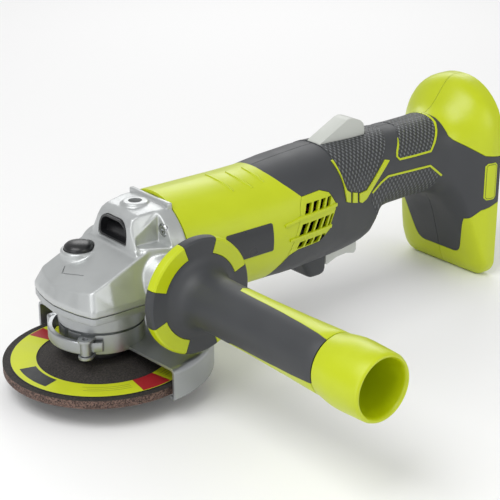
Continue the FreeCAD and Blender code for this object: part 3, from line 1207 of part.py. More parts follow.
def handle_core():
    core = turned("core_blank", [
        ("thread_radius + fit", "boss_end + gap"), ("boss_radius - 0.5", "boss_end + gap"),
        ("boss_radius + 1.5", "disc_face - 8.5", "3"), ("disc_radius - 1.5", "disc_face - 6.4"),
        ("disc_radius", "disc_face - 4.8"), ("disc_radius", "disc_face - 1.6"), ("core_tube", "disc_face - 1.6"),
        ("core_tube", "handle_end - 52"), ("bell_radius - 3.2", f"{SLEEVE_END}"), ("bell_radius - 1.4", f"{SLEEVE_END} + 0.2"),
        ("bell_radius + 0.6", f"{SLEEVE_END} + 8", "6"), ("bell_radius", "handle_end - 1.2"),
        ("bell_radius - 1", "handle_end"), ("bell_bore + 0.6", "handle_end"), ("bell_bore", "handle_end - 0.8"),
        ("bell_bore", "handle_end - 30"), ("core_tube - 2.6", "handle_end - 44"), ("core_tube - 2.6", "handle_end - 52"),
        ("0", "handle_end - 52"), ("0", f"{STUD_HEAD} + 6.1"), ("6.6", f"{STUD_HEAD} + 6.1"), ("6.6", STUD_HEAD),
        ("thread_radius + fit", STUD_HEAD)], SIDE, "-Y")
    arcs = [turned(f"core_arc_{i}", [
        ("25.2", "disc_face - 1.7"), ("disc_radius - 0.1", "disc_face - 1.7"), ("disc_radius - 0.1", "disc_face - 0.8"),
        ("disc_radius - 1.2", "disc_face"), ("25.2", "disc_face")], SIDE, "-Y", 51, 45 + 90 * i) for i in range(4)]
    return fuse("side_handle_core", [core] + arcs)


def handle_sleeve():
    sleeve = turned("sleeve_blank", [
        ("core_tube + fit", "disc_face - 1.55"), ("disc_radius - 0.1", "disc_face - 1.55"),
        ("disc_radius - 0.1", "disc_face - 0.8"), ("disc_radius - 1.2", "disc_face"), ("21.5", "disc_face", "3"),
        ("15.6", "disc_face + 6.5", "6"), ("15.4", "disc_face + 16"), ("17", "handle_end - 66", "40"),
        ("16.9", SLEEVE_END), ("bell_radius - 3.1", SLEEVE_END), ("core_tube + fit", "handle_end - 52.2")],
        SIDE, "-Y")
    windows = [turned(f"sleeve_window_{i}", [
        ("25", "disc_face - 3"), ("disc_radius + 3", "disc_face - 3"), ("disc_radius + 3", "disc_face + 2"),
        ("25", "disc_face + 2")], SIDE, "-Y", 52, 45 + 90 * i) for i in range(4)]
    return cut("side_handle_sleeve", sleeve, windows)


def handle_stud():
    thread = turned("stud_thread", [
        ("0", "boss_end - thread_depth + 1"), ("thread_radius - 0.9", "boss_end - thread_depth + 1"),
        ("thread_radius - fit", "boss_end - thread_depth + 2"), ("thread_radius - fit", f"{STUD_HEAD} + 1"),
        ("0", f"{STUD_HEAD} + 1")], SIDE, "-Y")
    head = padded("stud_head", "XY_Plane", [(a, b) for a, b in around(6, "6.5")], f"{STUD_HEAD} + 0.05", f"{STUD_HEAD} + 6")
    return fuse("side_handle_stud", [thread, place(head, SIDE, "-Y")])


# ---------------------------------------------------------------- build, check and write
BUILDERS = [
    grinding_wheel, wheel_label, inner_flange, lock_nut, spindle, gear_key, gear_clip, gear_spacer, ring_gear, pinion,
    spindle_bearing, bearing_retainer, dust_seal, spindle_top_bush, bearing_cap, cap_screws, gear_housing,
    housing_screws, exhaust_insert, lock_button, lock_spring, guard_shield, guard_band, clamp_pin, clamp_lever,
    pinion_shaft, front_armature_bearing, rear_armature_bearing, rotor_core, coil_windings, commutator, cooling_fan,
    air_baffle, stator_can, magnets, end_bell, carbon_brushes, brush_holders, brush_springs, motor_housing, nameplates,
    handle_screws, trigger, trigger_spring, switch_body, lock_off_slider, lock_off_spring, terminal_block,
    terminal_blades, battery_leads, motor_leads, handle_core, handle_sleeve, handle_stud]


def build():
    pieces = [make() for make in BUILDERS] + handle_halves()
    for piece in pieces:
        piece.Label = piece.Name
    doc.recompute()
    return pieces


def check(pieces):
    """Stop with a message when any object failed or a piece has no valid solid."""
    for thing in doc.Objects:
        if "Invalid" in thing.State or "Error" in thing.State:
            raise RuntimeError(f"{thing.Name} failed: {thing.State}")
    for piece in pieces:
        if piece.Shape.isNull() or not piece.Shape.Solids or not piece.Shape.isValid():
            raise RuntimeError(f"{piece.Name} has no valid solid")


def write(pieces):
    os.makedirs("parts", exist_ok=True)
    for piece in pieces:
        piece.Shape.exportStep(f"parts/{piece.Label}.step")
        print(f"{piece.Label}: {len(piece.Shape.Solids)} solid(s), {piece.Shape.Volume:.0f} mm3")


made = build()
check(made)
write(made)
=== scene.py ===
"""Looks of a cordless angle grinder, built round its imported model. Lengths are given in millimetres and turned to metres."""
import math

import bmesh
import bpy
from mathutils import Matrix, Vector


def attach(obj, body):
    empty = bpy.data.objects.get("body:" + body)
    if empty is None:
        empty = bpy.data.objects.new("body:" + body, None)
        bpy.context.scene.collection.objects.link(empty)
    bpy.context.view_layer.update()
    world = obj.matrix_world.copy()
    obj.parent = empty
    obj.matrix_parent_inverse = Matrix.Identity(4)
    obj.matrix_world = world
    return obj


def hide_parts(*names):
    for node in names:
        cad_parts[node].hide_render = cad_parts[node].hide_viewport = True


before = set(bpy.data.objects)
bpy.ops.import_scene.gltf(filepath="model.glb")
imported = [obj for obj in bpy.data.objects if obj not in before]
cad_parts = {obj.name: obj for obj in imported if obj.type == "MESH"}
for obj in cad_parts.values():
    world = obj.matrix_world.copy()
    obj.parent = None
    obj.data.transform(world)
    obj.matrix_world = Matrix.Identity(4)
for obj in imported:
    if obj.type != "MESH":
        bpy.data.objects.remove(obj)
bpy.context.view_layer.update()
bpy.ops.object.select_all(action="DESELECT")
MM = 0.001
TURN = {"X": (0, math.pi / 2, 0), "Y": (-math.pi / 2, 0, 0), "Z": (0, 0, 0)}
MOTOR_Z = 55.5
COLLAR = (-18.5, 117.3, 38.6, 37, 12)  # battery collar: low and high Z, half width, top and bottom corner radius
BUTTON = (-3, 16)  # axis of the lock button, X and Y
ARM_X, ARM_Z = 25.7, 49  # axis of the side handle holes
BARREL = 35.4  # radius of the head where it meets the motor housing


# ---------------------------------------------------------------- selection, edit mode and modifiers
def mm(point):
    """A point in millimetres as a vector in metres."""
    return Vector(point) * MM


def only(*things):
    """Select just these objects and make the first one active."""
    bpy.ops.object.select_all(action="DESELECT")
    for thing in things:
        thing.select_set(True)
    bpy.context.view_layer.objects.active = things[0]


def named(name):
    """Name the object that was just added, with its place moved into its mesh."""
    thing = bpy.context.object
    thing.name = name
    bpy.ops.object.transform_apply(location=True, rotation=True, scale=True)
    return thing


def edit(thing, mode="FACE", everything=True):
    only(thing)
    bpy.ops.object.mode_set(mode="EDIT")
    bpy.ops.mesh.select_mode(type=mode)
    bpy.ops.mesh.select_all(action="SELECT" if everything else "DESELECT")


def done():
    bpy.ops.object.mode_set(mode="OBJECT")


def shape_by(thing, kind, **settings):
    """Apply one modifier."""
    only(thing)
    step = thing.modifiers.new(kind.lower(), kind)
    for key, value in settings.items():
        setattr(step, key, value)
    bpy.ops.object.modifier_apply(modifier=step.name)
    return thing


def outward(thing):
    """Merge doubles and point all faces outwards."""
    edit(thing)
    bpy.ops.mesh.remove_doubles(threshold=0.01 * MM)
    bpy.ops.mesh.normals_make_consistent(inside=False)
    done()
    return thing


def boolean(thing, tools, operation="DIFFERENCE", keep=False):
    """Cut, join or intersect with other closed objects, which are used up."""
    for tool in tools:
        shape_by(thing, "BOOLEAN", operation=operation, object=tool, solver="EXACT")
        if not keep:
            bpy.data.meshes.remove(tool.data)
    return thing


def twin(thing, name):
    copy = thing.copy()
    copy.data = thing.data.copy()
    copy.name = name
    bpy.context.scene.collection.objects.link(copy)
    return copy


def joined(name, things):
    only(*things)
    if len(things) > 1:
        bpy.ops.object.join()
    things[0].name = name
    return things[0]


def rounded(thing, width, segments=3, angle=35):
    """Break every edge sharper than the angle."""
    return shape_by(thing, "BEVEL", width=width * MM, segments=segments, limit_method="ANGLE",
                    angle_limit=math.radians(angle), use_clamp_overlap=True)


def smooth(thing, angle=35):
    only(thing)
    bpy.ops.object.shade_smooth_by_angle(angle=math.radians(angle))
    return thing


def cast(thing, voxel, rounds, factor=0.5):
    """Blend all edges and joints as in a casting: an even skin over the form, then relaxed."""
    shape_by(thing, "REMESH", mode="VOXEL", voxel_size=voxel * MM, adaptivity=0)
    shape_by(thing, "SMOOTH", factor=factor, iterations=rounds)
    return thing


# ---------------------------------------------------------------- forms
def box(name, low, high):
    middle = (Vector(low) + Vector(high)) / 2 * MM
    bpy.ops.mesh.primitive_cube_add(size=1, location=middle, scale=(Vector(high) - Vector(low)) * MM)
    return named(name)


def rod(name, radius, length, at, axis="Z", sides=64, end=None):
    """A cylinder or cone from a point along an axis; a negative length runs the other way."""
    along = {"X": Vector((1, 0, 0)), "Y": Vector((0, 1, 0)), "Z": Vector((0, 0, 1))}[axis]
    middle = mm(at) + along * length * MM / 2
    ends = (radius, radius if end is None else end)
    if length < 0:
        ends = ends[::-1]
    bpy.ops.mesh.primitive_cone_add(vertices=sides, radius1=ends[0] * MM, radius2=ends[1] * MM,
                                    depth=abs(length) * MM, location=middle, rotation=TURN[axis])
    return named(name)


def chain(name, points):
    """A line of edges through points, grown one vertex at a time."""
    bpy.ops.mesh.primitive_plane_add(size=MM)
    thing = named(name)
    edit(thing, "VERT")
    bpy.ops.mesh.merge(type="CENTER")
    bpy.ops.transform.translate(value=mm(points[0]))
    for before, after in zip(points, points[1:]):
        bpy.ops.mesh.extrude_vertices_move(TRANSFORM_OT_translate={"value": mm(Vector(after) - Vector(before))})
    bpy.ops.mesh.select_all(action="SELECT")
    return thing


def turned(name, profile, at=(0, 0, 0), axis="Z", steps=96, sweep=360, start=0):
    """A turned form: the profile is (radius, distance along the axis), spun from a start angle."""
    thing = chain(name, [(r, 0, v) for r, v in profile])
    turn = Matrix.Rotation(math.radians(start), 4, "Z")
    closed = sweep >= 360
    done()
    thing.data.transform(turn)
    edit(thing, "VERT")
    bpy.ops.mesh.spin(steps=steps, angle=math.radians(sweep), center=(0, 0, 0), axis=(0, 0, 1), use_auto_merge=closed)
    bpy.ops.mesh.select_all(action="SELECT")
    bpy.ops.mesh.remove_doubles(threshold=0.005 * MM)
    done()
    lay = {"Z": Matrix.Identity(4), "X": Matrix.Rotation(math.pi / 2, 4, "Y"),
           "-Y": Matrix.Rotation(math.pi / 2, 4, "X"),
           "Y": Matrix.Rotation(-math.pi / 2, 4, "X")}[axis]
    thing.data.transform(Matrix.Translation(mm(at)) @ lay)
    return outward(thing)


def slab(name, outline, low, high, plane="XZ", round_by=0, segments=4):
    """An outline in one plane, corners rounded, extruded square to it between two levels."""
    spread = {"XZ": lambda a, b: (a, low, b), "XY": lambda a, b: (a, b, low), "YZ": lambda a, b: (low, a, b)}[plane]
    way = {"XZ": (0, 1, 0), "XY": (0, 0, 1), "YZ": (1, 0, 0)}[plane]
    thing = chain(name, [spread(a, b) for a, b in outline])
    bpy.ops.mesh.edge_face_add()
    if round_by:
        bpy.ops.mesh.bevel(offset=round_by * MM, segments=segments, affect="VERTICES", clamp_overlap=True)
    bpy.ops.mesh.select_all(action="SELECT")
    bpy.ops.mesh.extrude_region_move(TRANSFORM_OT_translate={"value": Vector(way) * (high - low) * MM})
    bpy.ops.mesh.select_all(action="SELECT")
    bpy.ops.mesh.normals_make_consistent(inside=False)
    done()
    return thing


def offset(outline, distance):
    """An outline grown or shrunk all round; corners keep their number."""
    area = sum(a[0] * b[1] - b[0] * a[1] for a, b in zip(outline, outline[1:] + outline[:1]))
    side = 1 if area > 0 else -1
    moved = []
    for i, point in enumerate(outline):
        one = (Vector(point) - Vector(outline[i - 1])).normalized()
        two = (Vector(outline[(i + 1) % len(outline)]) - Vector(point)).normalized()
        normal = Vector((one.y + two.y, -one.x - two.x)).normalized() * side
        stretch = max(0.5, math.cos(one.angle(two) / 2))
        moved.append((point[0] + normal.x * distance / stretch, point[1] + normal.y * distance / stretch))
    return moved


# ---------------------------------------------------------------- handle form
ARC, SIDE, CAP = 12, 8, 4
SECTIONS = [
    # x, low, high, half width, rounding above, rounding below
    (92, 20.1, 90.9, 35.4, 35.2, 35.2), (110, 20.1, 91.1, 35.5, 34.8, 34.8), (119, 20.0, 92.0, 35.4, 34, 34),
    (130, 20.2, 93.1, 34.6, 32.5, 32.5), (142, 20.6, 93.9, 33.3, 31, 31), (152, 21.2, 94.6, 31.6, 28.8, 28.5),
    (162, 22.0, 94.9, 29.6, 26.6, 25.6), (171, 22.9, 94.8, 27.6, 25, 22.6), (180, 24.0, 94.6, 25.8, 23.8, 20.4),
    (187, 25.4, 94.5, 24.6, 22.9, 19), (192.5, 27.4, 94.5, 23.9, 22.3, 18.5), (196.2, 31.6, 94.6, 23.5, 22, 18.2),
    (199, 37.0, 94.7, 23.2, 21.8, 18), (202.5, 41.2, 94.8, 23.0, 21.6, 18), (207, 43.2, 94.8, 22.9, 21.5, 18.6),
    (214, 43.8, 94.6, 22.8, 21.5, 19.5), (232, 43.9, 94.2, 22.8, 21.5, 20.2), (248, 43.5, 94.6, 22.9, 21.8, 20.2),
    (256, 42.7, 95.0, 23.2, 22, 20), (261, 40.8, 95.9, 23.9, 22.4, 18.8), (265.5, 37.0, 98.4, 25.3, 23.6, 16.8),
    (269.5, 31.6, 102.3, 27.6, 25.4, 14.6), (273, 23.4, 106.6, 30.3, 27.8, 13), (276.5, 12.6, 110.9, 33.1, 30.6, 12.2),
    (280, 0.6, 114.3, 35.5, 33.4, 12), (283.2, -9.8, 116.3, 37.4, 35.6, 12), (286.4, -16.6, 117.2, 38.4, 36.8, 12),
    (289.2, *COLLAR), (294.8, *COLLAR), (296, -17.5, 116.3, 37.6, 36, 11)]


def ring_points(x, low, high, half, top, bottom, inset=0.0):
    """A closed ring of points across X on a rounded outline, moved inwards by the inset."""
    low, high, half = low + inset, high - inset, half - inset
    top, bottom = max(top - inset, 0.5), max(bottom - inset, 0.5)
    points = []

    def line(start, end, count):
        for i in range(count):
            t = i / count
            points.append((x, start[0] + (end[0] - start[0]) * t, start[1] + (end[1] - start[1]) * t))

    def arc(centre, radius, begin):
        for i in range(ARC):
            angle = math.radians(begin + 90 * i / ARC)
            points.append((x, centre[0] + radius * math.cos(angle), centre[1] + radius * math.sin(angle)))

    line((half, low + bottom), (half, high - top), SIDE)
    arc((half - top, high - top), top, 0)
    line((half - top, high), (-half + top, high), CAP)
    arc((-half + top, high - top), top, 90)
    line((-half, high - top), (-half, low + bottom), SIDE)
    arc((-half + bottom, low + bottom), bottom, 180)
    line((-half + bottom, low), (half - bottom, low), CAP)
    arc((half - bottom, low + bottom), bottom, 270)
    return [mm(point) for point in points]


def loft(name, rings):
    """A closed form grown ring by ring: a disc is extruded and each new edge is set on the next outline."""
    count = len(rings[0])
    bpy.ops.mesh.primitive_circle_add(vertices=count, fill_type="NGON", radius=0.05)
    thing = named(name)
    for index, point in enumerate(rings[0]):
        thing.data.vertices[index].co = point
    edit(thing)
    for before, after in zip(rings, rings[1:]):
        bpy.ops.mesh.extrude_region_move()
        grown = bmesh.from_edit_mesh(thing.data)
        for vertex in [v for v in grown.verts if v.select]:
            nearest = min(range(count), key=lambda k: (vertex.co - before[k]).length_squared)
            vertex.co = after[nearest]
        bmesh.update_edit_mesh(thing.data)
    done()
    return outward(thing)


def handle_form(name, inset, start=92.0, end=296.0):
    """The handle's outer form from the motor housing to the collar, moved inwards by the inset."""
    rows = [row for row in SECTIONS if start <= row[0] <= end]
    return loft(name, [ring_points(*row, inset=inset) for row in rows])


# ---------------------------------------------------------------- materials
def tone(code):
    """Linear colour of an sRGB hex code."""
    parts = [int(code[i:i + 2], 16) / 255 for i in (1, 3, 5)]
    return [part / 12.92 if part <= 0.04045 else ((part + 0.055) / 1.055) ** 2.4 for part in parts] + [1]


def add(tree, kind, sockets=None, **settings):
    """Add a shader node; each socket, by name or number, gets a value or the link from another output."""
    node = tree.nodes.new("ShaderNode" + kind)
    for key, value in settings.items():
        setattr(node, key, value)
    for key, value in (sockets or {}).items():
        if isinstance(value, bpy.types.NodeSocket):
            tree.links.new(value, node.inputs[key])
        else:
            node.inputs[key].default_value = value
    return node.outputs


def mix(tree, factor, one, two):
    return add(tree, "Mix", {0: factor, 6: one, 7: two}, data_type="RGBA")[2]


def noise(tree, place, size, detail=3.0):
    """Noise from 0 to 1 with a grain of about this many millimetres."""
    return add(tree, "TexNoise", {"Vector": place, "Scale": 1 / (size * MM), "Detail": detail})["Fac"]


def span(tree, value, low, high, start=0.0, end=1.0):
    return add(tree, "MapRange", {0: value, 1: low, 2: high, 3: start, 4: end})[0]


def maths(tree, operation, one, two=0.0):
    return add(tree, "Math", {0: one, 1: two}, operation=operation)[0]


def finish(name, code, roughness, metallic=0.0, ior=1.5, edge=0.0, bumps=(), mottle=0.0, gloss_spread=0.06, coat=0.0,
           paint=None):
    """A material: base colour, gloss, an optional softened edge, bumps of (grain, height) in millimetres,
    a faint mottle of the colour and a faint unevenness of the gloss. A paint function may set the colour itself."""
    made = bpy.data.materials.new(name)
    made.use_nodes = True
    tree = made.node_tree
    shader = tree.nodes["Principled BSDF"]
    place = add(tree, "TexCoord")["Object"]
    colour = tone(code)
    broad = noise(tree, place, 14, 4)
    if mottle:
        dark = [part * (1 - mottle) for part in colour[:3]] + [1]
        colour = mix(tree, span(tree, broad, 0.35, 0.65), dark, colour)
    if paint:
        colour = paint(tree, place, colour)
    if isinstance(colour, bpy.types.NodeSocket):
        tree.links.new(colour, shader.inputs["Base Color"])
    else:
        shader.inputs["Base Color"].default_value = colour
    gloss = span(tree, broad, 0.3, 0.7, max(roughness - gloss_spread, 0.02), roughness + gloss_spread)
    tree.links.new(gloss, shader.inputs["Roughness"])
    shader.inputs["Metallic"].default_value = metallic
    shader.inputs["IOR"].default_value = ior
    shader.inputs["Coat Weight"].default_value = coat
    shader.inputs["Coat Roughness"].default_value = 0.12
    normal = None
    if edge:
        normal = add(tree, "Bevel", {"Radius": edge * MM}, samples=6)[0]
    for grain, height in bumps:
        sockets = {"Height": noise(tree, place, grain, 2), "Distance": height * MM}
        if normal:
            sockets["Normal"] = normal
        normal = add(tree, "Bump", sockets)[0]
    if normal:
        tree.links.new(normal, shader.inputs["Normal"])
    return made


def dimples(tree, normal):
    """Raised staggered dots about 2 mm apart on the grip panels; the angle round the grip gives the rows."""
    place = add(tree, "SeparateXYZ", {0: add(tree, "TexCoord")["Object"]})
    height = maths(tree, "SUBTRACT", place[2], 0.071)
    angle = maths(tree, "ARCTAN2", place[1], height)
    rows = maths(tree, "SINE", maths(tree, "MULTIPLY", angle, 34.0))
    along = maths(tree, "SINE", maths(tree, "MULTIPLY", place[0], math.tau / 0.0034))
    dots = maths(tree, "POWER", maths(tree, "MAXIMUM", maths(tree, "MULTIPLY", rows, along), 0.0), 0.6)
    return add(tree, "Bump", {"Height": dots, "Distance": 0.6 * MM, "Normal": normal})[0], dots


def wheel_paint(tree, place, colour):
    """Rim: brown bonded grit with light grains. Faces: black fibre cloth."""
    axes = add(tree, "SeparateXYZ", {0: place})
    radius = add(tree, "VectorMath", {0: add(tree, "CombineXYZ", {0: axes[0], 1: axes[1]})[0]}, operation="LENGTH")[1]
    grains = add(tree, "TexVoronoi", {"Vector": place, "Scale": 1 / (0.7 * MM)})
    grit = mix(tree, span(tree, grains["Color"], 0.2, 0.9), tone("#2A1D1A"), tone("#7C6358"))
    below = span(tree, axes[2], -0.00055, -0.00035, 1, 0)
    cloth = mix(tree, span(tree, noise(tree, place, 0.9, 3), 0.35, 0.7), tone("#1C1A19"), tone("#3A3532"))
    rim = maths(tree, "MULTIPLY", below, span(tree, radius, 0.0555, 0.0567))
    return mix(tree, rim, cloth, grit)


def label_paint(tree, place, colour):
    """Printed ring: lime with dark outlines, two red blocks and a dark block. Angles in degrees."""
    axes = add(tree, "SeparateXYZ", {0: place})
    radius = add(tree, "VectorMath", {0: add(tree, "CombineXYZ", {0: axes[0], 1: axes[1]})[0]}, operation="LENGTH")[1]
    angle = maths(tree, "ARCTAN2", axes[1], axes[0])

    def within(value, low, high):
        above = maths(tree, "GREATER_THAN", value, low)
        return maths(tree, "MULTIPLY", above, maths(tree, "LESS_THAN", value, high))

    def block(inner, outer, start, end):
        turn = within(angle, math.radians(start), math.radians(end))
        return maths(tree, "MULTIPLY", turn, within(radius, inner * MM, outer * MM))

    result = colour
    for code, inner, outer, start, end in (
            ("#9C1C24", 37.5, 52.5, -99.5, -79), ("#9C1C24", 38.6, 52.5, 99, 112), ("#26282A", 40, 49.5, 164, 179.99),
            ("#26282A", 40, 49.5, -180, -164), ("#1E2021", 52.9, 54, -180, 180), ("#1E2021", 37, 38.4, -180, 180),
            ("#8F9A2A", 42, 42.5, 60, 95), ("#8F9A2A", 44, 44.5, 60, 92), ("#8F9A2A", 46, 46.5, 60, 94),
            ("#8F9A2A", 42, 42.5, -76, -48), ("#8F9A2A", 44, 44.5, -76, -52), ("#8F9A2A", 46, 46.5, -76, -50),
            ("#8F9A2A", 42, 42.5, -140, -104), ("#8F9A2A", 44, 44.5, -136, -104), ("#8F9A2A", 46, 46.5, -138, -104)):
        result = mix(tree, block(inner, outer, start, end), result, tone(code))
    return result


FINISHES = {
    # Sand-cast alloy under silver lacquer: pale, half-matt, with a fine orange-peel skin.
    "cast_head": finish("cast_head", "#B9BCBC", 0.36, 0.55, 1.5, 0.5, ((0.5, 0.03), (3.0, 0.05)), 0.05, coat=0.15),
    "cast_cap": finish("cast_cap", "#A9ACAD", 0.34, 0.65, 1.5, 0.4, ((0.5, 0.03),), 0.06),
    # Glass-filled nylon, moulded in lime, with a fine spark-eroded grain.
    "lime_nylon": finish("lime_nylon", "#B9C603", 0.36, 0, 1.53, 0.45, ((0.35, 0.012), (2.4, 0.02)), 0.03),
    # Soft thermoplastic rubber over the grip: charcoal, silky matt.
    "grip_rubber": finish("grip_rubber", "#37393C", 0.52, 0, 1.51, 0.4, ((0.4, 0.018),), 0.06),
    "pale_nylon": finish("pale_nylon", "#BFC2BC", 0.42, 0, 1.53, 0.4, ((0.5, 0.012),), 0.02),
    "black_nylon": finish("black_nylon", "#17181A", 0.34, 0, 1.53, 0.3, ((0.6, 0.01),), 0.05),
    "fan_nylon": finish("fan_nylon", "#202224", 0.45, 0, 1.53, 0.2),
    # Zinc-plated then lacquered sheet of the guard: grey satin with faint rolling streaks.
    "guard_steel": finish("guard_steel", "#A4A7A9", 0.33, 0.8, 2.5, 0.3, ((1.2, 0.015),), 0.07),
    "black_steel": finish("black_steel", "#1E1F21", 0.36, 0.6, 2.5, 0.3, ((0.6, 0.02),), 0.1),
    "ground_steel": finish("ground_steel", "#B4B4B2", 0.2, 1, 2.5),
    "spring_steel": finish("spring_steel", "#8E9092", 0.25, 1, 2.5),
    "gear_steel": finish("gear_steel", "#6C6A68", 0.3, 1, 2.5),
    "bearing_steel": finish("bearing_steel", "#A9ABAC", 0.18, 1, 2.5),
    "screw_steel": finish("screw_steel", "#B7B9BA", 0.24, 1, 2.5, 0.15),
    "zinc_plate": finish("zinc_plate", "#9EA2A6", 0.3, 1, 2.0),
    "core_steel": finish("core_steel", "#55575A", 0.4, 1, 2.5),
    "copper_wire": finish("copper_wire", "#A8552B", 0.25, 0.9, 1.5),
    "commutator_copper": finish("commutator_copper", "#B8724A", 0.28, 1, 1.5),
    "bronze_bush": finish("bronze_bush", "#A07840", 0.35, 1, 1.5),
    "brass_sheet": finish("brass_sheet", "#B89A4C", 0.3, 1, 1.5),
    "tinned_brass": finish("tinned_brass", "#BDBDB6", 0.25, 1, 1.5),
    "seal_rubber": finish("seal_rubber", "#141414", 0.6, 0, 1.52),
    "ferrite": finish("ferrite", "#2D2C2E", 0.55, 0.1, 1.8),
    "carbon": finish("carbon", "#1B1B1C", 0.5, 0.2, 1.8),
    "lead_jacket": finish("lead_jacket", "#8E1A18", 0.4, 0, 1.5),
    # Printed foil, dark charcoal and half-gloss.
    "plate_foil": finish("plate_foil", "#2B2D30", 0.3, 0, 1.5, 0.2, ((1.0, 0.008),), 0.03),
    # Resin-bonded grit and glass cloth.
    "abrasive": finish("abrasive", "#2B2624", 0.8, 0, 1.5, 0, ((0.6, 0.25), (0.25, 0.1)), paint=wheel_paint),
    "wheel_print": finish("wheel_print", "#C6CF1C", 0.55, 0, 1.5, 0, ((0.9, 0.06),), 0.06, paint=label_paint),
}


def dimpled():
    """The grip rubber again, with raised dots whose tops carry a painted highlight and whose hollows carry painted
    shade.
    """
    made = finish("grip_dimples", "#44474A", 0.46, 0, 1.51, 0.2, (), 0.04)
    tree = made.node_tree
    shader = tree.nodes["Principled BSDF"]
    normal, dots = dimples(tree, shader.inputs["Normal"].links[0].from_socket)
    tree.links.new(normal, shader.inputs["Normal"])
    # painted light: the colour follows the dot height, a painted highlight on the dot tops and painted shade in the
    # hollows between them
    tree.links.new(mix(tree, dots, tone("#2C2E30"), tone("#6A6D70")), shader.inputs["Base Color"])
    return made


FINISHES["grip_dimples"] = dimpled()


def wear(thing, finish_name, *nodes, body="housing", slot=None, angle=35):
    """Finish a piece: its material, smooth shading, the body that it rides on and the nodes it stands for."""
    thing.data.materials.clear()
    thing.data.materials.append(FINISHES[finish_name])
    smooth(thing, angle)
    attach(thing, body)
    if nodes:
        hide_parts(*nodes)
    return thing


for node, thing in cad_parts.items():
    for place in thing.material_slots:
        place.material = FINISHES[place.material.name.split(".")[0]]


# ---------------------------------------------------------------- handle, motor housing and battery collar
SEAM = [(109.9, 100), (110, 91.9), (110.9, 89.7), (115.9, 84), (124.3, 76.1)]
CREASE = [(121.4, 70.9), (118.8, 61.2), (114.5, 50), (111.1, 41.6), (105.7, 31.9), (101, 15)]
VENT_EDGE = [(124.3, 76.1), (139.2, 76.9), (146.4, 74.2), (151.6, 66.5), (152.0, 62.2), (147.9, 54.6), (146.4, 50.6),
             (137.3, 44.9), (119.3, 44.4), (112.6, 41.7)]
SLIT = 0.15

front = [(37, 20.1, 90.9, 35.4, 35.2, 35.2), (64, 20.1, 90.9, 35.4, 35.2, 35.2)]
SECTIONS[:0] = front
form = handle_form("form", 0, 37)
core = handle_form("core", 2.0, 37, 214)
shape_by(form, "BOOLEAN", operation="DIFFERENCE", object=core, solver="EXACT")
boolean(form, [core])
half = box("half", (30, -60, -30), (300, -SLIT, 130))
motor_region = slab("motor_region", [(38.05, 5), (38.05, 100)] + SEAM + CREASE + [(101, 5)], -60, 60)
motor = boolean(twin(form, "motor_housing_visual"), [motor_region], "INTERSECT")

RUBBER = ([(109.7, 110)] + SEAM[1:] + VENT_EDGE[1:] + [(105.7, 31.9), (101, 15), (101, 5), (262, 5), (266, 21),
                                                       (273.4, 25.1),
          (281, 31.9), (294.9, 35.9), (299, 36), (299, 68), (291.8, 68), (281.5, 69.7), (270.3, 77.2), (263.5, 81.4),
          (261.1, 84), (260.4, 89.4), (260.2, 94), (258.9, 95.8), (258.5, 110)])
TONGUE = [(27.5, 50), (27.5, 26), (25.6, 21), (20.6, 2.4), (18.6, -1.6), (15, -3.6), (-15, -3.6), (-18.6, -1.6),
          (-20.6, 2.4), (-25.6, 21), (-27.5, 26), (-27.5, 50)]
grip_region = slab("grip_region", RUBBER, -60, 60)
tongue = slab("tongue", TONGUE, 262, 284.6, "YZ", round_by=1.6)
boolean(grip_region, [tongue], "UNION")
grip = boolean(twin(form, "grip"), [grip_region], "INTERSECT", keep=True)
grip = boolean(grip, [half], "INTERSECT", keep=True)
bump = slab("bump", [(139, 27), (144, 20.6), (148.2, 12.4), (149.6, 10.6), (151.8, 9.5), (154.4, 9.3), (158.8, 9.3),
                     (161.2, 9.8),
                     (162.9, 11.2), (163.8, 13.6), (164, 27)], -12, 12)
rounded(bump, 4.6, 6, 60)
boolean(bump, [half], "INTERSECT", keep=True)
boolean(grip, [bump], "UNION")
wider = slab("wider", offset(RUBBER, 0.28), -60, 60)
boolean(wider, [slab("tongue_wide", offset(TONGUE, 0.28), 262, 284.9, "YZ", round_by=1.6)], "UNION")
shell = boolean(twin(form, "shell"), [wider], "DIFFERENCE")
shell = boolean(shell, [half], "INTERSECT", keep=True)
front_cut = slab("front_cut", offset([(30, 5), (30, 110)] + SEAM + CREASE + [(101, 5)], 0.25), -60, 60)
boolean(shell, [front_cut])

trigger_slot = box("trigger_slot", (164.3, -9.9, 5), (192.2, 9.9, 45))
slider_slot = box("slider_slot", (160.2, -6.5, 86), (200.3, 6.5, 110))
recess = loft("recess", [ring_points(x, *COLLAR, inset=gap) for x, gap in ((287, 4.6), (297, 4.0))])
socket = rounded(box("socket", (231.8, -17.1, 49.9), (297, 17.1, 89.1)), 3, 3)
for piece in (grip, shell):
    boolean(piece, [trigger_slot, slider_slot, recess, socket], keep=True)

slots = []
for high, low, row in ((71.6, 65.2, [(126.6, 131.2, 123.8, 128.6), (132.7, 137.4, 130.0, 134.6),
                                     (138.9, 143.2, 136.0, 140.2),
                                     (144.7, 147.9, 141.6, 145.8)]),
                       (60.2, 52.4, [(121.8, 127.2, 118.0, 123.4), (128.6, 134.0, 124.8, 130.2),
                                     (135.4, 140.4, 131.6, 136.6),
                                     (141.8, 146.0, 138.0, 142.2), (147.3, 149.8, 143.5, 145.9)]),
                       (49.4, 45.4, [(119.8, 125.0, 117.9, 123.0), (126.3, 131.5, 124.4, 129.6),
                                     (132.8, 137.8, 130.9, 135.9),
                                     (139.1, 142.6, 137.2, 139.6)])):
    for left, right, lower_left, lower_right in row:
        slots.append(slab("slot", [(left, high), (right, high), (lower_right, low), (lower_left, low)], -60, -8,
                          round_by=0.5, segments=2))
boolean(shell, slots)

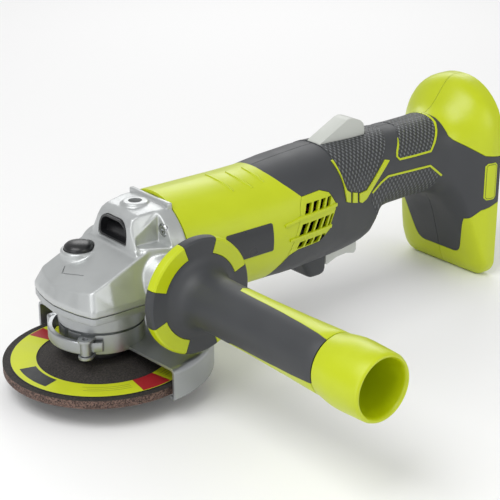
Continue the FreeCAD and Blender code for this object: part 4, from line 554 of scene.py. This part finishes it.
ribs = []
for name, outline in (("upper", [(108, 63.2), (120, 65.4), (152.4, 66.0), (152.4, 64.0), (120, 63.4), (108, 61.6)]),
                      ("lower", [(111.6, 53.2), (122.9, 53.7), (147.6, 53.6), (147.0, 51.7), (122.9, 51.7),
                                 (111.6, 51.6)])):
    skin = handle_form("skin", -0.9, 92, 171)
    boolean(skin, [handle_form("inside", 0.8, 92, 171)])
    ribs.append(boolean(skin, [slab(name, outline, -60, -2)], "INTERSECT"))
shell = joined("shell", [shell] + ribs)


def skin_patch(name, outline, lift, plane="XZ", low=-60, high=-SLIT, start=110, end=296, depth=1.2):
    """A thin raised piece lying on the handle's form, cut to an outline."""
    skin = handle_form(name, -lift, start, end)
    boolean(skin, [handle_form("under", depth, start, end)])
    return boolean(skin, [slab("cut", outline, low, high, plane)], "INTERSECT")


PANEL_A = [(160, 99), (159.7, 92.8), (159.3, 89.3), (159.7, 85.3), (160.2, 80.9), (160.8, 76.3), (162.7, 72),
           (166.3, 69.6),
           (171.6, 67.4), (177.2, 65.9), (183.1, 65.9), (189.5, 72.3), (198.2, 80.1), (201.9, 83.5), (207, 88.4),
           (210.6, 92.2), (214, 94.2), (215, 99)]
PANEL_B = [(227.3, 94.1), (223.1, 92), (220.8, 88.9), (217.9, 85.6), (214.9, 82.6), (214, 80.3), (215.5, 78.7),
           (228.9, 78.3),
           (243.3, 78.3), (248, 82.9), (253.1, 88.6), (256.4, 92.7), (257.6, 94.6), (257, 99), (228, 99)]
PANEL_C = [(191.2, 61.6), (197.9, 65.6), (204.9, 68.4), (217.5, 67.9), (230.4, 67.5), (242.7, 67.1), (247.6, 63.2),
           (252.6, 58.6), (250, 52), (243, 46), (240, 42), (200, 42), (196, 46), (189.4, 56)]
V_LEFT = [(157.4, 88.8), (158.2, 85.1), (159.2, 80.1), (160.0, 75.4), (160.7, 70.3), (162.5, 63.6), (166.7, 62.0),
          (166.4, 68.6),
          (162.3, 71.4), (160.4, 76.1), (159.8, 80.6), (159.2, 85.2), (158.9, 89.2)]
V_MIDDLE = [(169.0, 61.2), (168.9, 67.9), (173.6, 66.4), (174.0, 59.8)]
V_RIGHT = [(175.9, 65.2), (176.3, 59.6), (179.1, 58.2), (183.8, 59.6), (191.9, 67.0), (198.4, 73.0), (206.0, 79.6),
           (202.4, 80.6),
           (194.8, 74.6), (188.8, 69.2), (183.7, 65.3)]
LINE_C = [(189.4, 62.2), (197.6, 67.0), (204.8, 69.9), (217.5, 69.4), (230.4, 69.0), (243.5, 68.6), (248.9, 64.4),
          (255.4, 59.1),
          (254.4, 58.3), (247.9, 63.4), (243.0, 67.3), (230.4, 67.7), (217.5, 68.1), (205.1, 68.6), (198.1, 65.7),
          (190.4, 61.2)]
panels = [skin_patch("grip_panel_front", PANEL_A, 0.35), skin_patch("grip_panel_rear", PANEL_B, 0.3),
          skin_patch("grip_panel_lower", PANEL_C, 0.2)]
boolean(panels[0], [slider_slot], keep=True)
accents = [skin_patch("accent_left", V_LEFT, 0.75), skin_patch("accent_middle", V_MIDDLE, 0.75),
           skin_patch("accent_right", V_RIGHT, 0.75), skin_patch("accent_line", LINE_C, 0.4)]
BORDER = [(258.9, 97), (257.6, 92.4), (254.2, 88.0), (249.0, 82.1), (243.9, 77.1), (229, 77.1), (215.2, 77.5),
          (212.8, 80.0),
          (213.8, 83.0), (216.8, 86.4), (220.4, 89.9), (217.9, 86.2), (214.9, 82.6), (214.1, 80.3), (215.5, 78.8),
          (228.9, 78.4),
          (243.3, 78.4), (248, 83.0), (253.1, 88.7), (256.3, 92.7), (257.4, 97)]
accents.append(skin_patch("accent_border", BORDER, 0.45))
PILL = [(281.9, 40.6), (281.9, 62.6), (283.6, 64.4), (289.6, 64.4), (291.3, 62.6), (291.3, 40.6), (289.6, 38.8),
        (283.6, 38.8)]
badge = skin_patch("badge_frame", PILL, 0.3, start=270, depth=0.4)
boolean(badge, [slab("badge_inner", offset(PILL, -0.8), -60, 1)])
accents += [badge, skin_patch("badge_plate", offset(PILL, -1.2), 0.3, start=270, depth=0.4)]
plate = skin_patch("motor_plate", [(64.2, 50.3), (64.2, 65.8), (65, 66.6), (98, 66.6), (98.8, 65.8), (98.8, 50.3),
                                   (98, 49.5),
                                   (65, 49.5)], 0.3, start=37, end=152)
swooshes = []
for x, y_top, y_end, bow in ((79.4, 4, -18.7, 2.6), (91.2, -0.5, -19.7, 4.4), (103.4, -0.5, -18.4, 1.9)):
    upper, lower = [], []
    for step in range(9):
        t = step / 8
        y = y_top + (y_end - y_top) * t
        middle = x + bow * t * t
        breadth = 0.25 + 0.95 * math.sin(math.pi * min(t + 0.12, 1))
        upper.append((middle - breadth, y))
        lower.append((middle + breadth, y))
    swooshes.append(skin_patch("swoosh", upper + lower[::-1], 0.55, "XY", 60, 110, 37, 130))
motor = joined("motor_housing_visual", [motor] + swooshes)


def both(thing, left_name, right_name):
    """Rename the left piece and make its mirror image for the right."""
    thing.name = left_name
    other = twin(thing, right_name)
    other.data.transform(Matrix.Scale(-1, 4, (0, 1, 0)))
    other.data.flip_normals()
    return thing, other


wear(motor, "lime_nylon", "motor_housing")
for thing, part, kind in ((shell, "handle_shell", "lime_nylon"), (grip, "overmould", "grip_rubber")):
    left, right = both(thing, "left_" + part + "_visual", "right_" + part + "_visual")
    wear(left, kind, "left_" + part)
    wear(right, kind, "right_" + part)
for thing in panels:
    for copy in both(thing, "left_" + thing.name, "right_" + thing.name):
        wear(copy, "grip_dimples", slot="grip_rubber")
for thing in accents:
    for copy in both(thing, "left_" + thing.name, "right_" + thing.name):
        wear(copy, "lime_nylon")
left, right = both(plate, "left_plate", "right_plate")
wear(joined("nameplates_visual", [left, right]), "plate_foil", "nameplates")
for tool in (trigger_slot, slider_slot, recess, socket, half, grip_region, form):
    bpy.data.meshes.remove(tool.data)

# ---------------------------------------------------------------- trigger and lock-off slider
trigger = slab("trigger_visual", [(165.2, 32.8), (165.0, 15.0), (166.2, 14.6), (174.6, 17.6), (183, 18.2),
                                  (190.0, 16.6),
                                  (191.6, 18.2), (191.8, 32.8)], -9.3, 9.3, round_by=0.8, segments=3)
wear(rounded(trigger, 1.6, 4, 40), "pale_nylon", "trigger", body="trigger")
slider = slab("slider_visual", [(161.0, 92.6), (161.2, 95.2), (172, 100.6), (183.5, 106.2), (186.4, 106.9),
                                (189.6, 106.3),
                                (195.6, 104.0), (198.2, 101.8), (199.3, 98.8), (199.5, 92.6), (199.5, 85), (163, 85)],
              -5.9, 5.9, round_by=0.5, segments=2)
wear(rounded(slider, 1.5, 4, 40), "pale_nylon", "lock_off_slider", body="lock_off_slider")


# ---------------------------------------------------------------- gear head
def deck(x):
    """Height of the sloping top deck."""
    return 61.45 + 0.41 * x


BASE = [(-31.6, 0), (-30.6, 10), (-28.6, 20), (-25.5, 29.2), (-23.6, 30.6), (-12, 31.6), (4, 31.8), (20, 31.8),
        (37.5, 31.8)]
DECK = [(-28.7, 0), (-27.6, 8.5), (-25.6, 17), (-22.8, 24.2), (-21.2, 25.4), (-11, 25.9), (4, 26), (20, 26), (37.5, 26)]


def mirrored(points):
    return points + [(x, -y) for x, y in points[:0:-1]]


block = loft("gear_head", [[mm((x, y, 39.2)) for x, y in mirrored(BASE)],
                           [mm((x, y, 43)) for x, y in mirrored(BASE)],
                           [mm((x, y, deck(x))) for x, y in mirrored(DECK)]])
HUMP = [(8.8, 68, 18, 24), (10.4, 79, 16, 23), (12.6, 83.4, 15, 22.8), (17, 85.2, 15.6, 23.6), (26, 86.2, 17, 25),
        (35.2, 86.4, 18, 27)]
hump = loft("hump", [[mm((x, y, z)) for y, z in ((-low, 58), (-low, min(67, top - 1)), (-high, top), (0, top + 0.6),
                                                 (high, top),
                                                 (low, min(67, top - 1)), (low, 58))]
                     for x, top, high, low in HUMP])
cone = rod("cone", 27, 15, (13, 0, MOTOR_Z), "X", 96, BARREL)
barrel = rod("barrel", BARREL, 10, (27.9, 0, MOTOR_Z), "X", 96)
boolean(barrel, [box("hump_room", (20, -17.5, 86.2), (34.9, 17.5, 99)),
                 box("lip_room", (20, -19.4, 88.3), (50, 19.4, 99))])
boolean(cone, [box("cone_room", (10, -40, 86.2), (34.9, 40, 99))])
seat = rod("seat", 10.9, 16, (*BUTTON, 45.5), "Z", 48, 10.7)
arms = [rod("arm", 19.5, side * 18, (ARM_X, side * 23, ARM_Z), "Y", 48, 13.2) for side in (-1, 1)]
boss = rod("boss", 8.2, 6, (ARM_X, 0, 82.2), "Z", 48, 7.4)
lip = rounded(box("lip", (34.8, -19, 78), (37.95, 19, 89.1)), 1.0, 3)
head = joined("gear_housing_visual", [block, hump, cone, barrel, seat, boss] + arms)
shape_by(head, "REMESH", mode="VOXEL", voxel_size=0.55 * MM, adaptivity=0)
pockets = [box("pocket", (11.2, min(side * 19.2, side * 60), 69),
               (27.5, max(side * 19.2, side * 60), 96)) for side in (-1, 1)]
boolean(head, pockets)
cast(head, 0.5, 12, 0.6)
boolean(head, [lip], "UNION")
cuts = [slab("window", [(-13.9, 68.0), (-13.7, 75.0), (-11.6, 79.6), (-7.2, 81.9), (7.2, 81.9), (11.6, 79.6),
                        (13.7, 75.0), (13.9, 68.0)],
             5, 22, "YZ", round_by=1.8),
        rod("top_bore", 3.9, 12, (ARM_X, 0, 79), "Z", 48), rod("button_well", 9.0, 12, (*BUTTON, 52), "Z", 64),
        box("below", (-40, -45, 10), (18, 45, 39.2)), box("flat_rear", (37.98, -45, 10), (50, 45, 100)),
        rod("inside", 26, 28, (-2, 0, 20), "Z", 64), rod("motor_bore", 31, 20, (31, 0, MOTOR_Z), "X", 64)]
cuts += [rod("screw_well", 3.8, 3, (26.2, side * 23.5, 76.5), "X", 48) for side in (-1, 1)]
cuts += [rod("arm_bore", 4, side * 8, (ARM_X, side * 36, ARM_Z), "Y", 32) for side in (-1, 1)]
arrow = []
for line in ([(-15.3, 12.3), (-20.3, 7.7), (-19.9, 7.1), (-14.9, 11.7)],
             [(-20.3, 7.5), (-15.4, -7.0), (-14.8, -6.8), (-19.6, 7.7)]):
    arrow.append(loft("arrow", [[mm((x, y, deck(x) + level)) for x, y in line] for level in (-0.8, 3)]))
boolean(head, cuts + arrow)
wear(head, "cast_head", "gear_housing", angle=32)

insert = slab("exhaust_insert_visual", [(-13.7, 68.2), (-13.5, 74.9), (-11.4, 79.4), (-7.1, 81.7), (7.1, 81.7),
                                        (11.4, 79.4),
                                        (13.5, 74.9), (13.7, 68.2)], 9.9, 21, "YZ", round_by=1.7)
hollow = slab("hollow", [(-12.5, 69.4), (-12.3, 74.6), (-10.4, 78.5), (-6.6, 80.5), (6.6, 80.5), (10.4, 78.5),
                         (12.3, 74.6), (12.5, 69.4)],
              9, 19.6, "YZ", round_by=1.4)
boolean(insert, [hollow])
scoop = rod("scoop", 6.4, 24.6, (20.4, -12.3, 69.6), "Y", 48)
boolean(insert, [scoop], "UNION")
wear(insert, "black_nylon", "exhaust_insert")

button = turned("lock_button_visual", [(0, 54), (8.5, 54), (8.6, 62.4), (8.2, 63.4), (6.9, 64.5), (4.6, 65.3),
                                       (2.2, 65.6), (0, 65.7)],
                (*BUTTON, 0), steps=64)
wear(button, "black_nylon", "lock_button", body="lock_button")

cap_plate = slab("bearing_cap_visual", mirrored([(x + 0.25, y * 0.992) for x, y in BASE[:-1]] + [(21, 31.4)]), 35.2,
                 39, "XY",
                 round_by=1.0)
rounded(cap_plate, 0.9, 3, 40)
neck = turned("neck", [(13.2, 11), (21.8, 11), (22.3, 11.6), (22.3, 24), (24.9, 24.6), (24.9, 34.5), (26.6, 36.2),
                       (13.2, 36.2)],
              steps=96)
cap = joined("bearing_cap_visual", [cap_plate, neck])
wear(cap, "cast_cap", "bearing_cap")

# ---------------------------------------------------------------- side handle
AT = (25.7, 0, 49)
LIME = [(9, 41.3), (12.8, 41.3), (13.4, 44), (15.2, 50.5), (18, 53.4), (31.6, 53.4), (31.9, 53.8), (31.9, 58.3),
        (14, 58.3), (14, 166), (17.0, 168), (17.4, 170.6), (18.2, 174.6), (18.7, 179), (18.7, 184), (18.4, 192),
        (18.1, 198.8),
        (17.5, 200.2), (16.9, 200.6), (16.2, 200.5), (15.5, 199.6), (15.35, 198.4), (15.2, 171.6), (0, 171.6), (0, 60),
        (9, 60)]
DARK = [(13.0, 58.5), (32.1, 58.5), (32.1, 53.6), (33.1, 53.7), (33.8, 54.6), (33.9, 57.4), (33.5, 59.2), (32.4, 60.1),
        (24.6, 60.2), (21.0, 61.2), (18.2, 63.6), (16.4, 67.2),
        (15.7, 72), (15.4, 84), (15.5, 110), (16.2, 140), (16.9, 160), (17.0, 166.8), (16.8, 167.1), (13.0, 167.1)]


def wedge(name, rows, reach, inner):
    """A cutter round the handle's axis: at each distance it spans two angles, from an inner to an outer radius."""
    rings = []
    for distance, start, end in rows:
        turns = [math.radians(start + (end - start) * k / 10) for k in range(11)]
        ring = [(25.7 + reach * math.cos(t), -distance, 49 + reach * math.sin(t)) for t in turns]
        ring += [(25.7 + inner * math.cos(t), -distance, 49 + inner * math.sin(t)) for t in turns[::-1]]
        rings.append([mm(point) for point in ring])
    return loft(name, rings)


handle_lime = turned("side_handle_core_visual", LIME, AT, "-Y", 96)
handle_dark = turned("side_handle_sleeve_visual", DARK, AT, "-Y", 96)
STRIP = [(92.5, 78, 82), (94.5, 52, 93.0), (100.5, 38, 94.0), (119.3, 33.5, 96.8), (135.2, 29, 100.6),
         (151, 24, 105.6), (165.4, 18, 112.1), (170, 16, 114)]
lime_parts = []
for turn in (0, 180):
    rows = [(d, a + turn, b + turn) for d, a, b in STRIP]
    strip = twin(handle_dark, "strip")
    boolean(strip, [wedge("strip_cut", [(d, a + 0.5, b - 0.5) for d, a, b in rows], 22, 14.2)], "INTERSECT")
    lime_parts.append(strip)
for turn in (0, 180):
    boolean(handle_dark, [wedge("gap", [(d, a + turn, b + turn) for d, a, b in STRIP], 22, 14.1)])
for centre in (45, 135, 225, 315):
    arc = twin(handle_dark, "arc")
    boolean(arc, [wedge("arc_cut", [(52, centre - 25.4, centre + 25.4), (63, centre - 25.4, centre + 25.4)], 40,
                        25.0)], "INTERSECT")
    lime_parts.append(arc)
for centre in (45, 135, 225, 315):
    boolean(handle_dark, [wedge("arc_gap", [(52, centre - 26, centre + 26), (63, centre - 26, centre + 26)], 40, 24.7)])
wear(joined("side_handle_core_visual", [handle_lime] + lime_parts), "lime_nylon", "side_handle_core")
wear(handle_dark, "grip_rubber", "side_handle_sleeve")

# ---------------------------------------------------------------- guard clamp
sweep = turned("clamp_lever_visual", [(28.2, 13.5), (30.4, 13.5), (30.9, 14.2), (30.9, 20.4), (30.4, 21.0),
                                      (28.2, 21.0), (28.2, 13.5)],
               steps=40, sweep=92, start=216)
edit(sweep, "EDGE", False)
bpy.ops.mesh.select_non_manifold()
bpy.ops.mesh.edge_face_add()
done()
outward(sweep)
knuckle = rod("knuckle", 3.0, 7.4, (-23.4, -18.3, 13.5), "Z", 48)
tip = rounded(box("tip", (-19.6, 22.6, 13.5), (-13.4, 28.6, 21.0)), 1.4, 4)
sweep = joined("clamp_lever_visual", [sweep, knuckle, tip])
wear(sweep, "guard_steel", "clamp_lever", body="clamp_lever", slot="black_steel")
pin = joined("clamp_pin_visual", [rod("pin", 1.7, 9.0, (-23.4, -18.3, 12.8), "Z", 32),
                                  slab("hook_plate", [(-22.6, -17.4), (-19.2, -20.8), (-15.4, -23.2), (-13.6, -22.2),
                                                      (-18, -19.2), (-21.6, -15.8)],
                                       14.4, 20.2, "XY", round_by=0.5)])
wear(rounded(pin, 0.3, 2, 50), "guard_steel", "clamp_pin", body="guard", slot="screw_steel")

# ---------------------------------------------------------------- floor, light and camera
bpy.ops.mesh.primitive_plane_add(size=30, location=(0.1, 0, -0.0186))
floor = named("floor")
paper = bpy.data.materials.new("paper")
paper.use_nodes = True
paper.node_tree.nodes["Principled BSDF"].inputs["Base Color"].default_value = (0.9, 0.9, 0.9, 1)
paper.node_tree.nodes["Principled BSDF"].inputs["Roughness"].default_value = 0.9
floor.data.materials.append(paper)


def lamp(name, place, target, size, power, colour=(1, 1, 1)):
    bpy.ops.object.light_add(type="AREA", location=place)
    light = bpy.context.object
    light.name = name
    light.rotation_euler = (Vector(target) - Vector(place)).to_track_quat("-Z", "Y").to_euler()
    light.data.shape = "RECTANGLE"
    light.data.size, light.data.size_y = size
    light.data.energy = power
    light.data.color = colour


lamp("key", (-0.55, -0.15, 1.05), (0.08, -0.02, 0.05), (0.9, 0.7), 8)
lamp("side", (0.35, -1.25, 0.55), (0.1, -0.05, 0.05), (1.1, 0.6), 4)
lamp("back", (0.9, 0.9, 0.8), (0.1, 0, 0.05), (1.0, 0.6), 5)
lamp("front", (-1.2, -0.3, 0.35), (0, 0, 0.04), (0.5, 0.9), 3.2)
world = bpy.data.worlds.new("studio")
bpy.context.scene.world = world
world.use_nodes = True
world.node_tree.nodes["Background"].inputs["Color"].default_value = (1, 1, 1, 1)
world.node_tree.nodes["Background"].inputs["Strength"].default_value = 0.52

bpy.ops.object.camera_add()
camera = bpy.context.object
camera.data.lens = 100.8
camera.data.sensor_width = 36
camera.data.clip_end = 20
camera.matrix_world = Matrix.Translation(mm((-399.5, -613.5, 357.2))) @ Matrix(
    ((0.7692, 0.2386, -0.5927), (-0.6389, 0.2873, -0.7136), (0, 0.9276, 0.3735))).to_4x4()
bpy.context.scene.camera = camera
bpy.context.scene.view_settings.view_transform = "Standard"
